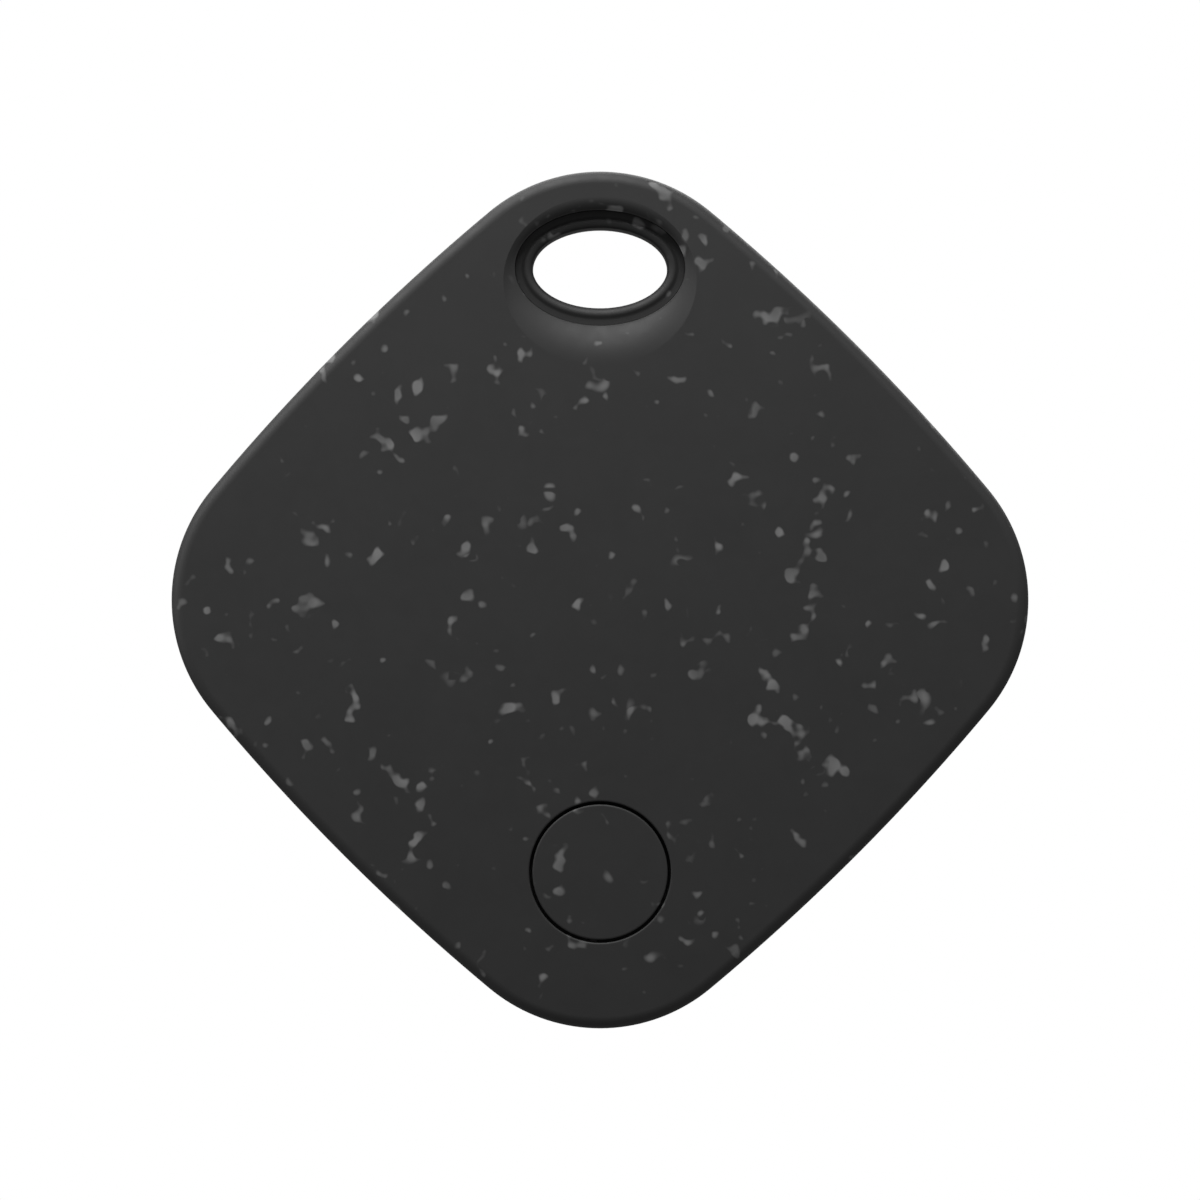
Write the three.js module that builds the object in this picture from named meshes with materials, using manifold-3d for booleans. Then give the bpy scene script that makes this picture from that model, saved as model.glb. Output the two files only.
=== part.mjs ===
// Bluetooth tracker tag: a rounded square that hangs on one corner from a key ring.
//
// Millimetres. The exported group has +Z up and the tag's face towards -Y, with the
// origin at the centre of the key-ring hole. The parts are drawn lying down: x to the
// right, y up the face and z out of the face, with (0, 0, 0) in the middle of the tag.
import * as THREE from 'three';
import { mergeVertices } from 'three/addons/utils/BufferGeometryUtils.js';
import Module from 'manifold-3d';

const wasm = await Module();
wasm.setup();

// Outline: four corner arcs joined by four slightly bulging side arcs
const HALF_DIAGONAL = 19.5;
const CORNER_RADIUS = 7.85;
const SIDE_RADIUS = 99.2;
const CORNER_STEPS = 10;
const SIDE_STEPS = 3;

// Depth: levels along z
const FACE_Z = 4.0;
const FACE_SPHERE = 190; // radius of the shallow dome
const BACK_Z = -4.0;
const SEAM_Z = -0.6;
const SEAM_GAP = 0.08;
const FRONT_FILLET = 0.5;
const BACK_FILLET = 1.3;
const FACE_WALL = 1.0;
const RIM_WALL = 2.0;
const BACK_FLOOR_Z = -2.6;
const LEDGE_Z = 0.8; // what the gasket presses against in the front shell
const BULKHEAD_Y = 11.2; // the sealed space ends here, below the key-ring hole

// Tongue of the rear shell, in a recess of the front shell, with the gasket on top
const TONGUE_INSET = 1.25;
const TONGUE_TOP_Z = 0.3;
const TONGUE_TOP_Y = BULKHEAD_Y + RIM_WALL - TONGUE_INSET;
const GASKET = { outer: 1.3, outerTop: 11.9, inner: 1.95, innerTop: 11.25 }; // insets and top ends
const FIT = 0.05; // air between pieces that touch
const PAST = 1; // how far a cutter runs beyond the surface it opens

// Key-ring hole: an ellipse through the rear shell's collar, in a dished opening
const HOLE_Y = 15.11;
const HOLE = { x: 3.07, y: 1.83 };
const COLLAR = { wall: 0.4, top: 2.55, edge: 0.12, shoulder: 2.35 };
const OPENING_GROWTH = 0.8; // from the hole's edge to the front shell's opening
const DISH = { x: 4.4, y: 3.85, y0: HOLE_Y - 0.6, below: 0.68, side: 0.26, above: 0.42 };
const DISH_SKIRT = { reach: 1.3, height: 0.5 }; // where the cutter leaves the face
const OVAL_STEPS = 36;
const BACK_FLARE = 0.4; // how far the hole opens out at the back
const BACK_FLARE_START = 0.2; // the flaring cutter starts this far outside the back

// Button
const BUTTON_Y = -12.37;
const BUTTON_RADIUS = 3.08;
const BUTTON_GAP = 0.14;
const FLANGE_RADIUS = 3.65;
const FLANGE_Z = 2.25;
const FLANGE_THICKNESS = 0.25;
const BUTTON_SEAT = { r: 3.9, z: 2.6 };

// Board, and the low switch, springs and chips on it
const BOARD_INSET = 2.3;
const BOARD_TOP_Y = 10.8;
const BOARD_BACK_Z = 0.85;
const BOARD_FRONT_Z = 1.45;

// Coin cell, tray and bayonet door share one axis
const CELL_Y = -0.6;
const CELL_RADIUS = 10;
const CELL_BACK_Z = -2.9;
const CELL_THICKNESS = 3.2;
const TRAY = { inset: 2.5, inner: 10.15, outer: 11.0, back: -1.9, plate: 0.45, front: 0.8, window: 7 };
const CONTACT_NOTCH = { size: [4, 2.2, 4], y: 10.2 };
const CORNER_NOTCH = { size: [6, 3, 2], y: -17 };
const DOOR_RADIUS = 12.1;
const DOOR_CHAMFER = 0.2;
const DOOR_GAP = 0.1;
const DOOR_INNER_Z = -3.15;
const DOOR_SEAT_Z = -3.1;
const DOOR_BORE = 10.7;
const DOOR_PAD_RADIUS = 6;
const SPIGOT = { inner: 10.15, outer: 10.55, root: -3.45, top: -2.05 };
const LUG_HALF_WIDTH = THREE.MathUtils.degToRad(9);
const LUG = { inner: 10.35, outer: 11.0, back: -2.5, front: -2.1, halfWidth: LUG_HALF_WIDTH };
const LUG_COUNT = 3;
const NOTCH = { inner: 9.7, outer: 11.1, halfWidth: THREE.MathUtils.degToRad(11) };
const DOOR_TURN = THREE.MathUtils.degToRad(30);
// Ribs that end each lug's turn; gap and halfWidth in radians
const STOP_RIB = { inner: 10.75, outer: 11.4, back: -2.8, front: -2.1, gap: 0.06, halfWidth: 0.03 };

// Screws that clamp tray and board to the front shell's bosses
const SCREWS = [
  new THREE.Vector2(13.6, 3.2), new THREE.Vector2(-13.6, 3.2),
  new THREE.Vector2(7.6, -10.6), new THREE.Vector2(-7.6, -10.6),
];
const SCREW = { shank: 0.6, shankTop: 2.1, tip: 0.2, tipTop: 2.4 };
const SCREW_HEAD = { radius: 1.1, edge: 0.9, chamfer: 0.15, height: 0.5 };
const SCREW_RECESS = { length: 1.1, width: 0.25, depth: 0.5 };
const SCREW_CLEARANCE = 0.75;
const BOSS = { r: 1.4, hole: 0.65, holeTop: 2.55 };

// Piezo sounder, glued inside the face
const BUZZER_Y = 3.2;
const BUZZER = { disc: 7, ceramic: 5, pocket: 7.4, thickness: 0.12 };
const BUZZER_GLUE = { outer: 6.95, inner: 6.1, back: 2.84, front: 2.93 };
const BUZZER_POCKET_Z = 2.95;
const BUZZER_ROUND = 36;

const ROUND = 44; // facets of a large circle
const SMALL_ROUND = 16; // facets of a small one
const BUTTON_ROUND = 32; // facets of the button and its opening

// ---- materials -------------------------------------------------------------------

const plastic = (color, roughness) => new THREE.MeshStandardMaterial({ color, roughness, metalness: 0 });
const metal = (color, roughness) => new THREE.MeshStandardMaterial({ color, roughness, metalness: 0.9 });

const SHELL = plastic(0x333333, 0.55);
const INNER_PLASTIC = plastic(0x1c1d1f, 0.6);
const SILICONE = plastic(0x2a2c2e, 0.85);
const FOAM = plastic(0x17181a, 0.95);
const BOARD = plastic(0x12402a, 0.4);
const CHIP = plastic(0x16171a, 0.45);
const CERAMIC = plastic(0xd9d4c4, 0.5);
const CAPACITOR = plastic(0xa98f6c, 0.5);
const STEEL = metal(0xb8babd, 0.3);
const GOLD = metal(0xc9a453, 0.3);
const BRASS = metal(0xb5924c, 0.35);

// ---- solids ----------------------------------------------------------------------

// Turns a closed three.js geometry into a manifold-3d solid with its faces outward.
function solid(geometry) {
  geometry.deleteAttribute('normal');
  geometry.deleteAttribute('uv');
  const merged = mergeVertices(geometry, 1e-5);
  const index = merged.index.array;
  const triangles = [];
  for (let i = 0; i < index.length; i += 3) {
    const [a, b, c] = [index[i], index[i + 1], index[i + 2]];
    if (a !== b && b !== c && c !== a) triangles.push(a, b, c);
  }
  const vertProperties = new Float32Array(merged.attributes.position.array);
  const build = (list) => new wasm.Manifold(
    new wasm.Mesh({ numProp: 3, vertProperties, triVerts: new Uint32Array(list) }),
  );
  const body = build(triangles);
  if (body.volume() > 0) return body;
  for (let i = 0; i < triangles.length; i += 3) {
    [triangles[i], triangles[i + 1]] = [triangles[i + 1], triangles[i]];
  }
  return build(triangles);
}

function geometryOf(body) {
  const { vertProperties, triVerts } = body.getMesh();
  const geometry = new THREE.BufferGeometry();
  geometry.setAttribute('position', new THREE.BufferAttribute(vertProperties, 3));
  geometry.setIndex(new THREE.BufferAttribute(triVerts, 1));
  geometry.computeVertexNormals();
  return geometry;
}

function prism(points, z0, z1) {
  const options = { depth: z1 - z0, bevelEnabled: false };
  return solid(new THREE.ExtrudeGeometry(new THREE.Shape(points), options).translate(0, 0, z0));
}

function cylinder(radius, z0, z1, x = 0, y = 0, facets = ROUND) {
  const geometry = new THREE.CylinderGeometry(radius, radius, z1 - z0, facets);
  return solid(geometry.rotateX(Math.PI / 2).translate(x, y, (z0 + z1) / 2));
}

function box(width, height, depth, x = 0, y = 0, z = 0) {
  return solid(new THREE.BoxGeometry(width, height, depth).translate(x, y, z));
}

// Turns a closed profile of [radius, z] pairs about the line through (x, y) along z.
function turned(profile, x = 0, y = 0, facets = ROUND) {
  const points = [...profile, profile[0]].map(([r, z]) => new THREE.Vector2(r, z));
  return solid(new THREE.LatheGeometry(points, facets).rotateX(Math.PI / 2).translate(x, y, 0));
}

function tube(outer, inner, z0, z1, x = 0, y = 0, facets = ROUND) {
  return turned([[inner, z0], [outer, z0], [outer, z1], [inner, z1]], x, y, facets);
}

// A ring of round section, such as an O-ring.
function torus(radius, section, z, y) {
  const profile = [];
  const facets = 6;
  for (let i = 0; i < facets; i++) {
    const t = 2 * Math.PI * (i + 0.5) / facets;
    profile.push([radius + section * Math.cos(t), z + section * Math.sin(t)]);
  }
  return turned(profile, 0, y);
}

// Closed skin through rings of points, each ring with as many points as the next.
// Each end is a fan around its apex.
function loft(rings, bottomApex, topApex) {
  const count = rings[0].length;
  const points = [...rings.flat(), bottomApex, topApex];
  const index = [];
  for (let r = 0; r + 1 < rings.length; r++) {
    for (let i = 0; i < count; i++) {
      const a = r * count + i;
      const b = r * count + (i + 1) % count;
      index.push(a, b, b + count, a, b + count, a + count);
    }
  }
  const last = (rings.length - 1) * count;
  for (let i = 0; i < count; i++) {
    const next = (i + 1) % count;
    index.push(points.length - 2, next, i);
    index.push(points.length - 1, last + i, last + next);
  }
  const geometry = new THREE.BufferGeometry().setFromPoints(points);
  geometry.setIndex(index);
  return solid(geometry);
}

// Sheet metal bent along a line of [a, b] points, as a closed outline of even thickness.
function bentStrip(line, thickness) {
  const points = line.map(([a, b]) => new THREE.Vector2(a, b));
  const direction = (i) => points[i + 1].clone().sub(points[i]).normalize();
  const sides = points.map((point, i) => {
    const before = direction(Math.max(i - 1, 0));
    const after = direction(Math.min(i, points.length - 2));
    const along = before.clone().add(after).normalize();
    const reach = thickness / 2 / along.dot(after);
    const normal = new THREE.Vector2(-along.y, along.x).multiplyScalar(reach);
    return [point.clone().add(normal), point.clone().sub(normal)];
  });
  return [...sides.map((pair) => pair[0]), ...sides.map((pair) => pair[1]).reverse()];
}

// ---- outline and face ------------------------------------------------------------

const CORNER_CENTRE = HALF_DIAGONAL - CORNER_RADIUS;
const SIDE_CENTRE = sideCentre();
const CORNER_SWEEP = Math.atan2(
  SIDE_CENTRE * Math.SQRT1_2,
  CORNER_CENTRE + SIDE_CENTRE * Math.SQRT1_2,
);

// How far behind the middle a side arc is centred, so that it meets its corner arcs smoothly.
function sideCentre() {
  const c2 = CORNER_CENTRE ** 2;
  const between = (SIDE_RADIUS - CORNER_RADIUS) ** 2;
  return (-Math.SQRT2 * CORNER_CENTRE + Math.sqrt(2 * c2 - 4 * (c2 - between))) / 2;
}

function arc(x, y, radius, from, to, steps) {
  return Array.from({ length: steps }, (_, i) => {
    const t = from + (to - from) * i / steps;
    return new THREE.Vector2(x + radius * Math.cos(t), y + radius * Math.sin(t));
  });
}

function outline(inset) {
  const points = [];
  for (let corner = 0; corner < 4; corner++) {
    const turn = corner * Math.PI / 2;
    const side = turn + Math.PI / 4;
    const [cx, cy] = [CORNER_CENTRE * Math.cos(turn), CORNER_CENTRE * Math.sin(turn)];
    const [sx, sy] = [-SIDE_CENTRE * Math.cos(side), -SIDE_CENTRE * Math.sin(side)];
    const start = turn + CORNER_SWEEP;
    const end = turn + Math.PI / 2 - CORNER_SWEEP;
    points.push(...arc(cx, cy, CORNER_RADIUS - inset, turn - CORNER_SWEEP, start, CORNER_STEPS));
    points.push(...arc(sx, sy, SIDE_RADIUS - inset, start, end, SIDE_STEPS));
  }
  return points;
}

const ellipse = (a, b, y0) => Array.from({ length: OVAL_STEPS }, (_, i) => {
  const t = 2 * Math.PI * i / OVAL_STEPS;
  return new THREE.Vector2(a * Math.cos(t), y0 + b * Math.sin(t));
});

const oval = (growth) => ellipse(HOLE.x + growth, HOLE.y + growth, HOLE_Y);
const faceZ = (x, y) => FACE_Z - (x * x + y * y) / (2 * FACE_SPHERE);
const lift = (points, level) => points.map((p) => new THREE.Vector3(p.x, p.y, level(p.x, p.y)));
const scaled = (points, k) => points.map((p) => p.clone().multiplyScalar(k));
const levelAt = (z) => () => z;

// Rings over a face, from the given outline inward.
function faceRings(points, level) {
  return [1, 0.75, 0.5, 0.25].map((k) => lift(scaled(points, k), level));
}

// The outline as a prism that stops short of the key-ring hole.
function pocket(inset, top, z0, z1) {
  const half = 2 * HALF_DIAGONAL;
  const keep = box(2 * half, half + top, z1 - z0, 0, (top - half) / 2, (z0 + z1) / 2);
  return prism(outline(inset), z0, z1).intersect(keep);
}

// ---- shells ----------------------------------------------------------------------

function frontBlank() {
  const edge = [30, 60].map((degrees) => {
    const t = THREE.MathUtils.degToRad(degrees);
    const drop = FRONT_FILLET * (1 - Math.sin(t));
    return lift(outline(FRONT_FILLET * (1 - Math.cos(t))), (x, y) => faceZ(x, y) - drop);
  });
  const rings = [
    lift(outline(0), levelAt(SEAM_Z)),
    lift(outline(0), (x, y) => faceZ(x, y) - FRONT_FILLET),
    ...edge,
    ...faceRings(outline(FRONT_FILLET), faceZ),
  ];
  return loft(rings, new THREE.Vector3(0, 0, SEAM_Z), new THREE.Vector3(0, 0, FACE_Z));
}

// The space inside the front shell: shallow by the rim, where tongue and gasket sit.
function frontSpace() {
  const innerFace = (x, y) => faceZ(x, y) - FACE_WALL;
  const edge = outline(RIM_WALL);
  const rings = [lift(edge, levelAt(LEDGE_Z)), ...faceRings(edge, innerFace)];
  const apexes = [LEDGE_Z, FACE_Z - FACE_WALL].map((z) => new THREE.Vector3(0, 0, z));
  const upper = loft(rings, ...apexes).intersect(pocket(0, BULKHEAD_Y, SEAM_Z, FACE_Z));
  const recess = pocket(TONGUE_INSET - FIT, TONGUE_TOP_Y + FIT, SEAM_Z - PAST, LEDGE_Z);
  return upper.add(recess);
}

// The scoop around the key-ring opening: a ramp that rises to the face all round, longest
// below the hole and steepest above it.
function dishCutter() {
  const opening = oval(OPENING_GROWTH);
  const rim = ellipse(DISH.x, DISH.y, DISH.y0);
  const depthAt = (i) => {
    const t = 2 * Math.PI * i / OVAL_STEPS;
    return THREE.MathUtils.lerp(Math.sin(t) < 0 ? DISH.below : DISH.above, DISH.side, Math.cos(t) ** 2);
  };
  const ring = (s, drop) => opening.map((p, i) => {
    const q = p.clone().lerp(rim[i], s);
    return new THREE.Vector3(q.x, q.y, faceZ(q.x, q.y) - drop(i));
  });
  const rings = [0, 0.25, 0.5, 0.75, 1].map((s) => ring(s, (i) => depthAt(i) * (1 - s) ** 2));
  rings.push(ring(DISH_SKIRT.reach, () => -DISH_SKIRT.height));
  const floor = new THREE.Vector3(0, HOLE_Y, faceZ(0, HOLE_Y) - DISH.below);
  const top = new THREE.Vector3(0, HOLE_Y, FACE_Z + PAST);
  return loft(rings, floor, top);
}

function frontShell(blank) {
  let shell = blank.subtract(frontSpace());
  for (const { x, y } of SCREWS) {
    shell = shell.add(cylinder(BOSS.r, BOARD_FRONT_Z + FIT, FACE_Z - FACE_WALL, x, y, SMALL_ROUND));
  }
  for (const { x, y } of SCREWS) {
    shell = shell.subtract(cylinder(BOSS.hole, SEAM_Z, BOSS.holeTop, x, y, SMALL_ROUND));
  }
  const buttonHole = BUTTON_RADIUS + BUTTON_GAP;
  return shell
    .subtract(cylinder(BUZZER.pocket, LEDGE_Z, BUZZER_POCKET_Z, 0, BUZZER_Y, BUZZER_ROUND))
    .subtract(cylinder(BUTTON_SEAT.r, LEDGE_Z, BUTTON_SEAT.z, 0, BUTTON_Y, BUTTON_ROUND))
    .subtract(cylinder(buttonHole, LEDGE_Z, FACE_Z + PAST, 0, BUTTON_Y, BUTTON_ROUND))
    .subtract(prism(oval(OPENING_GROWTH), SEAM_Z - PAST, FACE_Z + PAST))
    .subtract(dishCutter());
}

function rearBlank() {
  const top = SEAM_Z - SEAM_GAP;
  const edge = [0, 30, 60, 90].map((degrees) => {
    const t = THREE.MathUtils.degToRad(degrees);
    const inset = BACK_FILLET * (1 - Math.sin(t));
    return lift(outline(inset), levelAt(BACK_Z + BACK_FILLET * (1 - Math.cos(t))));
  });
  const rings = [...edge, lift(outline(0), levelAt(top))];
  return loft(rings, new THREE.Vector3(0, 0, BACK_Z), new THREE.Vector3(0, 0, top));
}

function tongue() {
  return pocket(TONGUE_INSET, TONGUE_TOP_Y, SEAM_Z - PAST, TONGUE_TOP_Z)
    .subtract(pocket(RIM_WALL, BULKHEAD_Y, SEAM_Z - 2 * PAST, TONGUE_TOP_Z + PAST));
}

function shellGasket() {
  const { outer, outerTop, inner, innerTop } = GASKET;
  return pocket(outer, outerTop, TONGUE_TOP_Z + FIT, LEDGE_Z - FIT)
    .subtract(pocket(inner, innerTop, TONGUE_TOP_Z - FIT, LEDGE_Z + FIT));
}

// A wedge-shaped piece of a ring about the cell's axis, centred on an angle.
function ringSector(inner, outer, z0, z1, middle, halfWidth) {
  const steps = 4;
  const from = middle - halfWidth;
  const to = middle + halfWidth;
  const end = (radius, t) => new THREE.Vector2(radius * Math.cos(t), CELL_Y + radius * Math.sin(t));
  const points = [
    ...arc(0, CELL_Y, outer, from, to, steps), end(outer, to),
    ...arc(0, CELL_Y, inner, to, from, steps), end(inner, from),
  ];
  return prism(points, z0, z1);
}

// The key-ring hole, which opens out as it meets the back.
function keyHole() {
  const level = (growth, z) => lift(oval(growth), levelAt(z));
  const start = BACK_Z - BACK_FLARE_START;
  const rings = [
    level(BACK_FLARE + BACK_FLARE_START, start), level(BACK_FLARE * 0.3, BACK_Z + BACK_FLARE * 0.4),
    level(0, BACK_Z + BACK_FLARE * 1.2), level(0, FACE_Z),
  ];
  return loft(rings, new THREE.Vector3(0, HOLE_Y, start), new THREE.Vector3(0, HOLE_Y, FACE_Z));
}

// The tube around the hole, and the shoulder outside it that closes the opening's gap.
function collar() {
  const foot = SEAM_Z - PAST;
  return prism(oval(COLLAR.wall), foot, COLLAR.top - COLLAR.edge)
    .add(prism(oval(COLLAR.wall - COLLAR.edge), foot, COLLAR.top))
    .add(prism(oval(OPENING_GROWTH - FIT), foot, COLLAR.shoulder));
}

const lugAngles = Array.from({ length: LUG_COUNT }, (_, i) => Math.PI / 2 + i * 2 * Math.PI / LUG_COUNT);

function rearShell() {
  let shell = rearBlank()
    .subtract(pocket(RIM_WALL, BULKHEAD_Y, BACK_FLOOR_Z, 0))
    .add(tongue())
    .add(collar())
    .subtract(keyHole())
    .subtract(cylinder(DOOR_RADIUS + DOOR_GAP, BACK_Z - PAST, DOOR_SEAT_Z, 0, CELL_Y))
    .subtract(cylinder(DOOR_BORE, BACK_Z - PAST, 0, 0, CELL_Y));
  const stopAngle = DOOR_TURN + LUG.halfWidth + STOP_RIB.gap;
  const { inner, outer, back, front, halfWidth } = STOP_RIB;
  for (const angle of lugAngles) {
    shell = shell
      .subtract(ringSector(NOTCH.inner, NOTCH.outer, BACK_Z, 0, angle, NOTCH.halfWidth))
      .add(ringSector(inner, outer, back, front, angle + stopAngle, halfWidth));
  }
  return shell;
}

// ---- battery door ----------------------------------------------------------------

const SEAL = { r: 11.6, section: 0.2, z: -3.34, grooveSide: 0.25, grooveDepth: 0.45 };
const COIN_SLOT = { reach: 5.2, radius: 0.85, depth: 0.5 };

function coinSlot() {
  const { reach, radius, depth } = COIN_SLOT;
  const quarter = Math.PI / 2;
  const points = [
    ...arc(reach, CELL_Y, radius, -quarter, quarter, 8),
    ...arc(-reach, CELL_Y, radius, quarter, 3 * quarter, 8),
  ];
  return prism(points, BACK_Z - PAST, BACK_Z + depth);
}

function batteryDoor() {
  const plate = turned([
    [0, BACK_Z], [DOOR_RADIUS - DOOR_CHAMFER, BACK_Z], [DOOR_RADIUS, BACK_Z + DOOR_CHAMFER],
    [DOOR_RADIUS, DOOR_INNER_Z], [0, DOOR_INNER_Z],
  ], 0, CELL_Y);
  const { r, grooveSide, grooveDepth } = SEAL;
  const groove = tube(r + grooveSide, r - grooveSide, DOOR_INNER_Z - grooveDepth, 0, 0, CELL_Y);
  let door = plate
    .subtract(groove)
    .add(tube(SPIGOT.outer, SPIGOT.inner, SPIGOT.root, SPIGOT.top, 0, CELL_Y))
    .subtract(coinSlot());
  for (const angle of lugAngles) {
    door = door.add(ringSector(LUG.inner, LUG.outer, LUG.back, LUG.front, angle, LUG.halfWidth));
  }
  return door;
}

const doorPad = () => cylinder(
  DOOR_PAD_RADIUS, DOOR_INNER_Z + FIT, CELL_BACK_Z - FIT, 0, CELL_Y, BUZZER_ROUND,
);

// ---- coin cell -------------------------------------------------------------------

const CELL_FRONT_Z = CELL_BACK_Z + CELL_THICKNESS;
const CELL = { wall: 0.25, edge: 0.3, crimp: 9.25, cap: 8.6, capFoot: -0.7, core: 8.2 };
const CELL_GASKET = { outer: 9.15, inner: 8.7, back: -0.8, front: 0.05 };

function batteryCan() {
  const { wall, edge, crimp } = CELL;
  const rim = CELL_FRONT_Z - edge;
  return turned([
    [0, CELL_BACK_Z], [CELL_RADIUS - edge, CELL_BACK_Z], [CELL_RADIUS, CELL_BACK_Z + edge],
    [CELL_RADIUS, rim - edge], [CELL_RADIUS - edge, rim], [crimp, rim], [crimp, rim - wall],
    [CELL_RADIUS - wall, rim - 2 * wall], [CELL_RADIUS - wall, CELL_BACK_Z + wall],
    [0, CELL_BACK_Z + wall],
  ], 0, CELL_Y);
}

function batteryCap() {
  const { wall, edge, cap, capFoot } = CELL;
  return turned([
    [0, CELL_FRONT_Z], [cap - edge, CELL_FRONT_Z], [cap, CELL_FRONT_Z - edge], [cap, capFoot],
    [cap - wall, capFoot], [cap - wall, CELL_FRONT_Z - edge - wall / 2],
    [cap - edge - wall / 2, CELL_FRONT_Z - wall], [0, CELL_FRONT_Z - wall],
  ], 0, CELL_Y);
}

const batteryGasket = () => tube(
  CELL_GASKET.outer, CELL_GASKET.inner, CELL_GASKET.back, CELL_GASKET.front, 0, CELL_Y,
);
const batteryCore = () => cylinder(
  CELL.core, CELL_BACK_Z + CELL.edge, CELL_FRONT_Z - CELL.edge, 0, CELL_Y, BUZZER_ROUND,
);

// ---- chassis and board -----------------------------------------------------------

function drilled(plate, z0, z1) {
  return SCREWS.reduce(
    (body, { x, y }) => body.subtract(cylinder(SCREW_CLEARANCE, z0, z1, x, y, SMALL_ROUND)),
    plate,
  );
}

function batteryTray() {
  const plate = pocket(TRAY.inset, BOARD_TOP_Y, TRAY.plate, TRAY.front);
  const wall = cylinder(TRAY.outer, TRAY.back, (TRAY.plate + TRAY.front) / 2, 0, CELL_Y);
  const bore = cylinder(TRAY.inner, TRAY.back - PAST, TRAY.plate, 0, CELL_Y);
  const window = cylinder(TRAY.window, TRAY.back, TRAY.front + PAST, 0, CELL_Y);
  const contactNotch = box(...CONTACT_NOTCH.size, 0, CONTACT_NOTCH.y, 0);
  const cornerNotch = box(...CORNER_NOTCH.size, 0, CORNER_NOTCH.y, TRAY.front);
  const tray = plate.add(wall).subtract(bore).subtract(window);
  const notched = tray.subtract(contactNotch).subtract(cornerNotch);
  return drilled(notched, TRAY.plate - PAST, TRAY.front + PAST);
}

function mainBoard() {
  const board = pocket(BOARD_INSET, BOARD_TOP_Y, BOARD_BACK_Z, BOARD_FRONT_Z);
  return drilled(board, BOARD_BACK_Z - PAST, BOARD_FRONT_Z + PAST);
}

function screw({ x, y }) {
  const seat = TRAY.plate - FIT;
  const { radius, edge, chamfer, height } = SCREW_HEAD;
  const body = turned([
    [0, seat - height], [edge, seat - height], [radius, seat - height + chamfer], [radius, seat],
    [SCREW.shank, seat], [SCREW.shank, SCREW.shankTop], [SCREW.tip, SCREW.tipTop], [0, SCREW.tipTop],
  ], x, y, SMALL_ROUND);
  const { length, width, depth } = SCREW_RECESS;
  const recess = (w, h) => box(w, h, depth, x, y, seat - height);
  return body.subtract(recess(length, width)).subtract(recess(width, length));
}

// Parts standing on the board: width, height and thickness, and where along x and y
const BOARD_PARTS = [
  { name: 'bluetooth_chip', size: [4.5, 4.5, 0.8], at: [-9.5, -4.6], material: CHIP },
  { name: 'buzzer_driver', size: [2, 2, 0.6], at: [8.2, -5.4], material: CHIP },
  { name: 'radio_crystal', size: [2, 1.6, 0.5], at: [-5.2, -6.2], material: STEEL },
  { name: 'clock_crystal', size: [3.2, 1.5, 0.7], at: [-4.4, -8.6], material: CERAMIC },
  { name: 'chip_antenna', size: [1.6, 3.2, 0.7], at: [-15.4, -1.2], material: CERAMIC },
  { name: 'boost_inductor', size: [2.5, 2, 0.9], at: [10.9, -2.4], material: CHIP },
];
const CAPACITOR_SIZE = [1, 0.5, 0.5];
const CAPACITOR_PLACES = [
  [-12.9, -3.0], [-9.2, -8.0], [-6.2, -3.9], [5.6, -6.2], [8.4, -7.4], [11.4, -4.6],
];
const CHIP_BEVEL = 0.08;

// A chip standing on the board's front, with a small bevel around its top.
function chip(width, height, thickness, x, y) {
  const bevel = CHIP_BEVEL;
  const z = BOARD_FRONT_Z + FIT;
  const corners = (w, h, level) => [[1, 1], [-1, 1], [-1, -1], [1, -1]].map(
    ([i, j]) => new THREE.Vector3(x + i * w / 2, y + j * h / 2, level),
  );
  const rings = [
    corners(width, height, z),
    corners(width, height, z + thickness - bevel),
    corners(width - 2 * bevel, height - 2 * bevel, z + thickness),
  ];
  return loft(rings, new THREE.Vector3(x, y, z), new THREE.Vector3(x, y, z + thickness));
}

// ---- button and switch -----------------------------------------------------------

const SWITCH = { width: 3.0, height: 2.6, top: 1.85, bore: 0.85, floor: 1.62 };
const COVER = { inset: 0.3, z: 1.91, thickness: 0.08, bore: 0.95 };

// Profiles of [radius, z]: the rubber under the button, and the switch's plunger
const MEMBRANE_PROFILE = [
  [3.1, 1.5], [3.5, 1.5], [3.5, 1.7], [2.7, 2.2], [0, 2.2], [0, 2.03], [2.5, 2.03], [3.1, 1.65],
];
const PLUNGER_PROFILE = [[0, 1.79], [0.78, 1.79], [0.78, 1.9], [0.6, 2.0], [0, 2.0]];

function buttonCap(blank) {
  const top = cylinder(BUTTON_RADIUS, FLANGE_Z, FACE_Z + PAST, 0, BUTTON_Y, BUTTON_ROUND);
  const flangeTop = FLANGE_Z + FLANGE_THICKNESS;
  const flange = cylinder(FLANGE_RADIUS, FLANGE_Z, flangeTop, 0, BUTTON_Y, BUTTON_ROUND);
  return top.intersect(blank).add(flange);
}

function switchBody() {
  const back = BOARD_FRONT_Z + FIT;
  const thickness = SWITCH.top - back;
  const block = box(SWITCH.width, SWITCH.height, thickness, 0, BUTTON_Y, back + thickness / 2);
  return block.subtract(cylinder(SWITCH.bore, SWITCH.floor, FACE_Z, 0, BUTTON_Y, SMALL_ROUND));
}

function switchCover() {
  const [width, height] = [SWITCH.width - COVER.inset, SWITCH.height - COVER.inset];
  const plate = box(width, height, COVER.thickness, 0, BUTTON_Y, COVER.z);
  return plate.subtract(cylinder(COVER.bore, 0, FACE_Z, 0, BUTTON_Y, SMALL_ROUND));
}

// ---- sounder and contacts --------------------------------------------------------

const CONTACT_THICKNESS = 0.12;
const DISC_Z = 2.7;
const CERAMIC_Z = 2.56;

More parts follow.
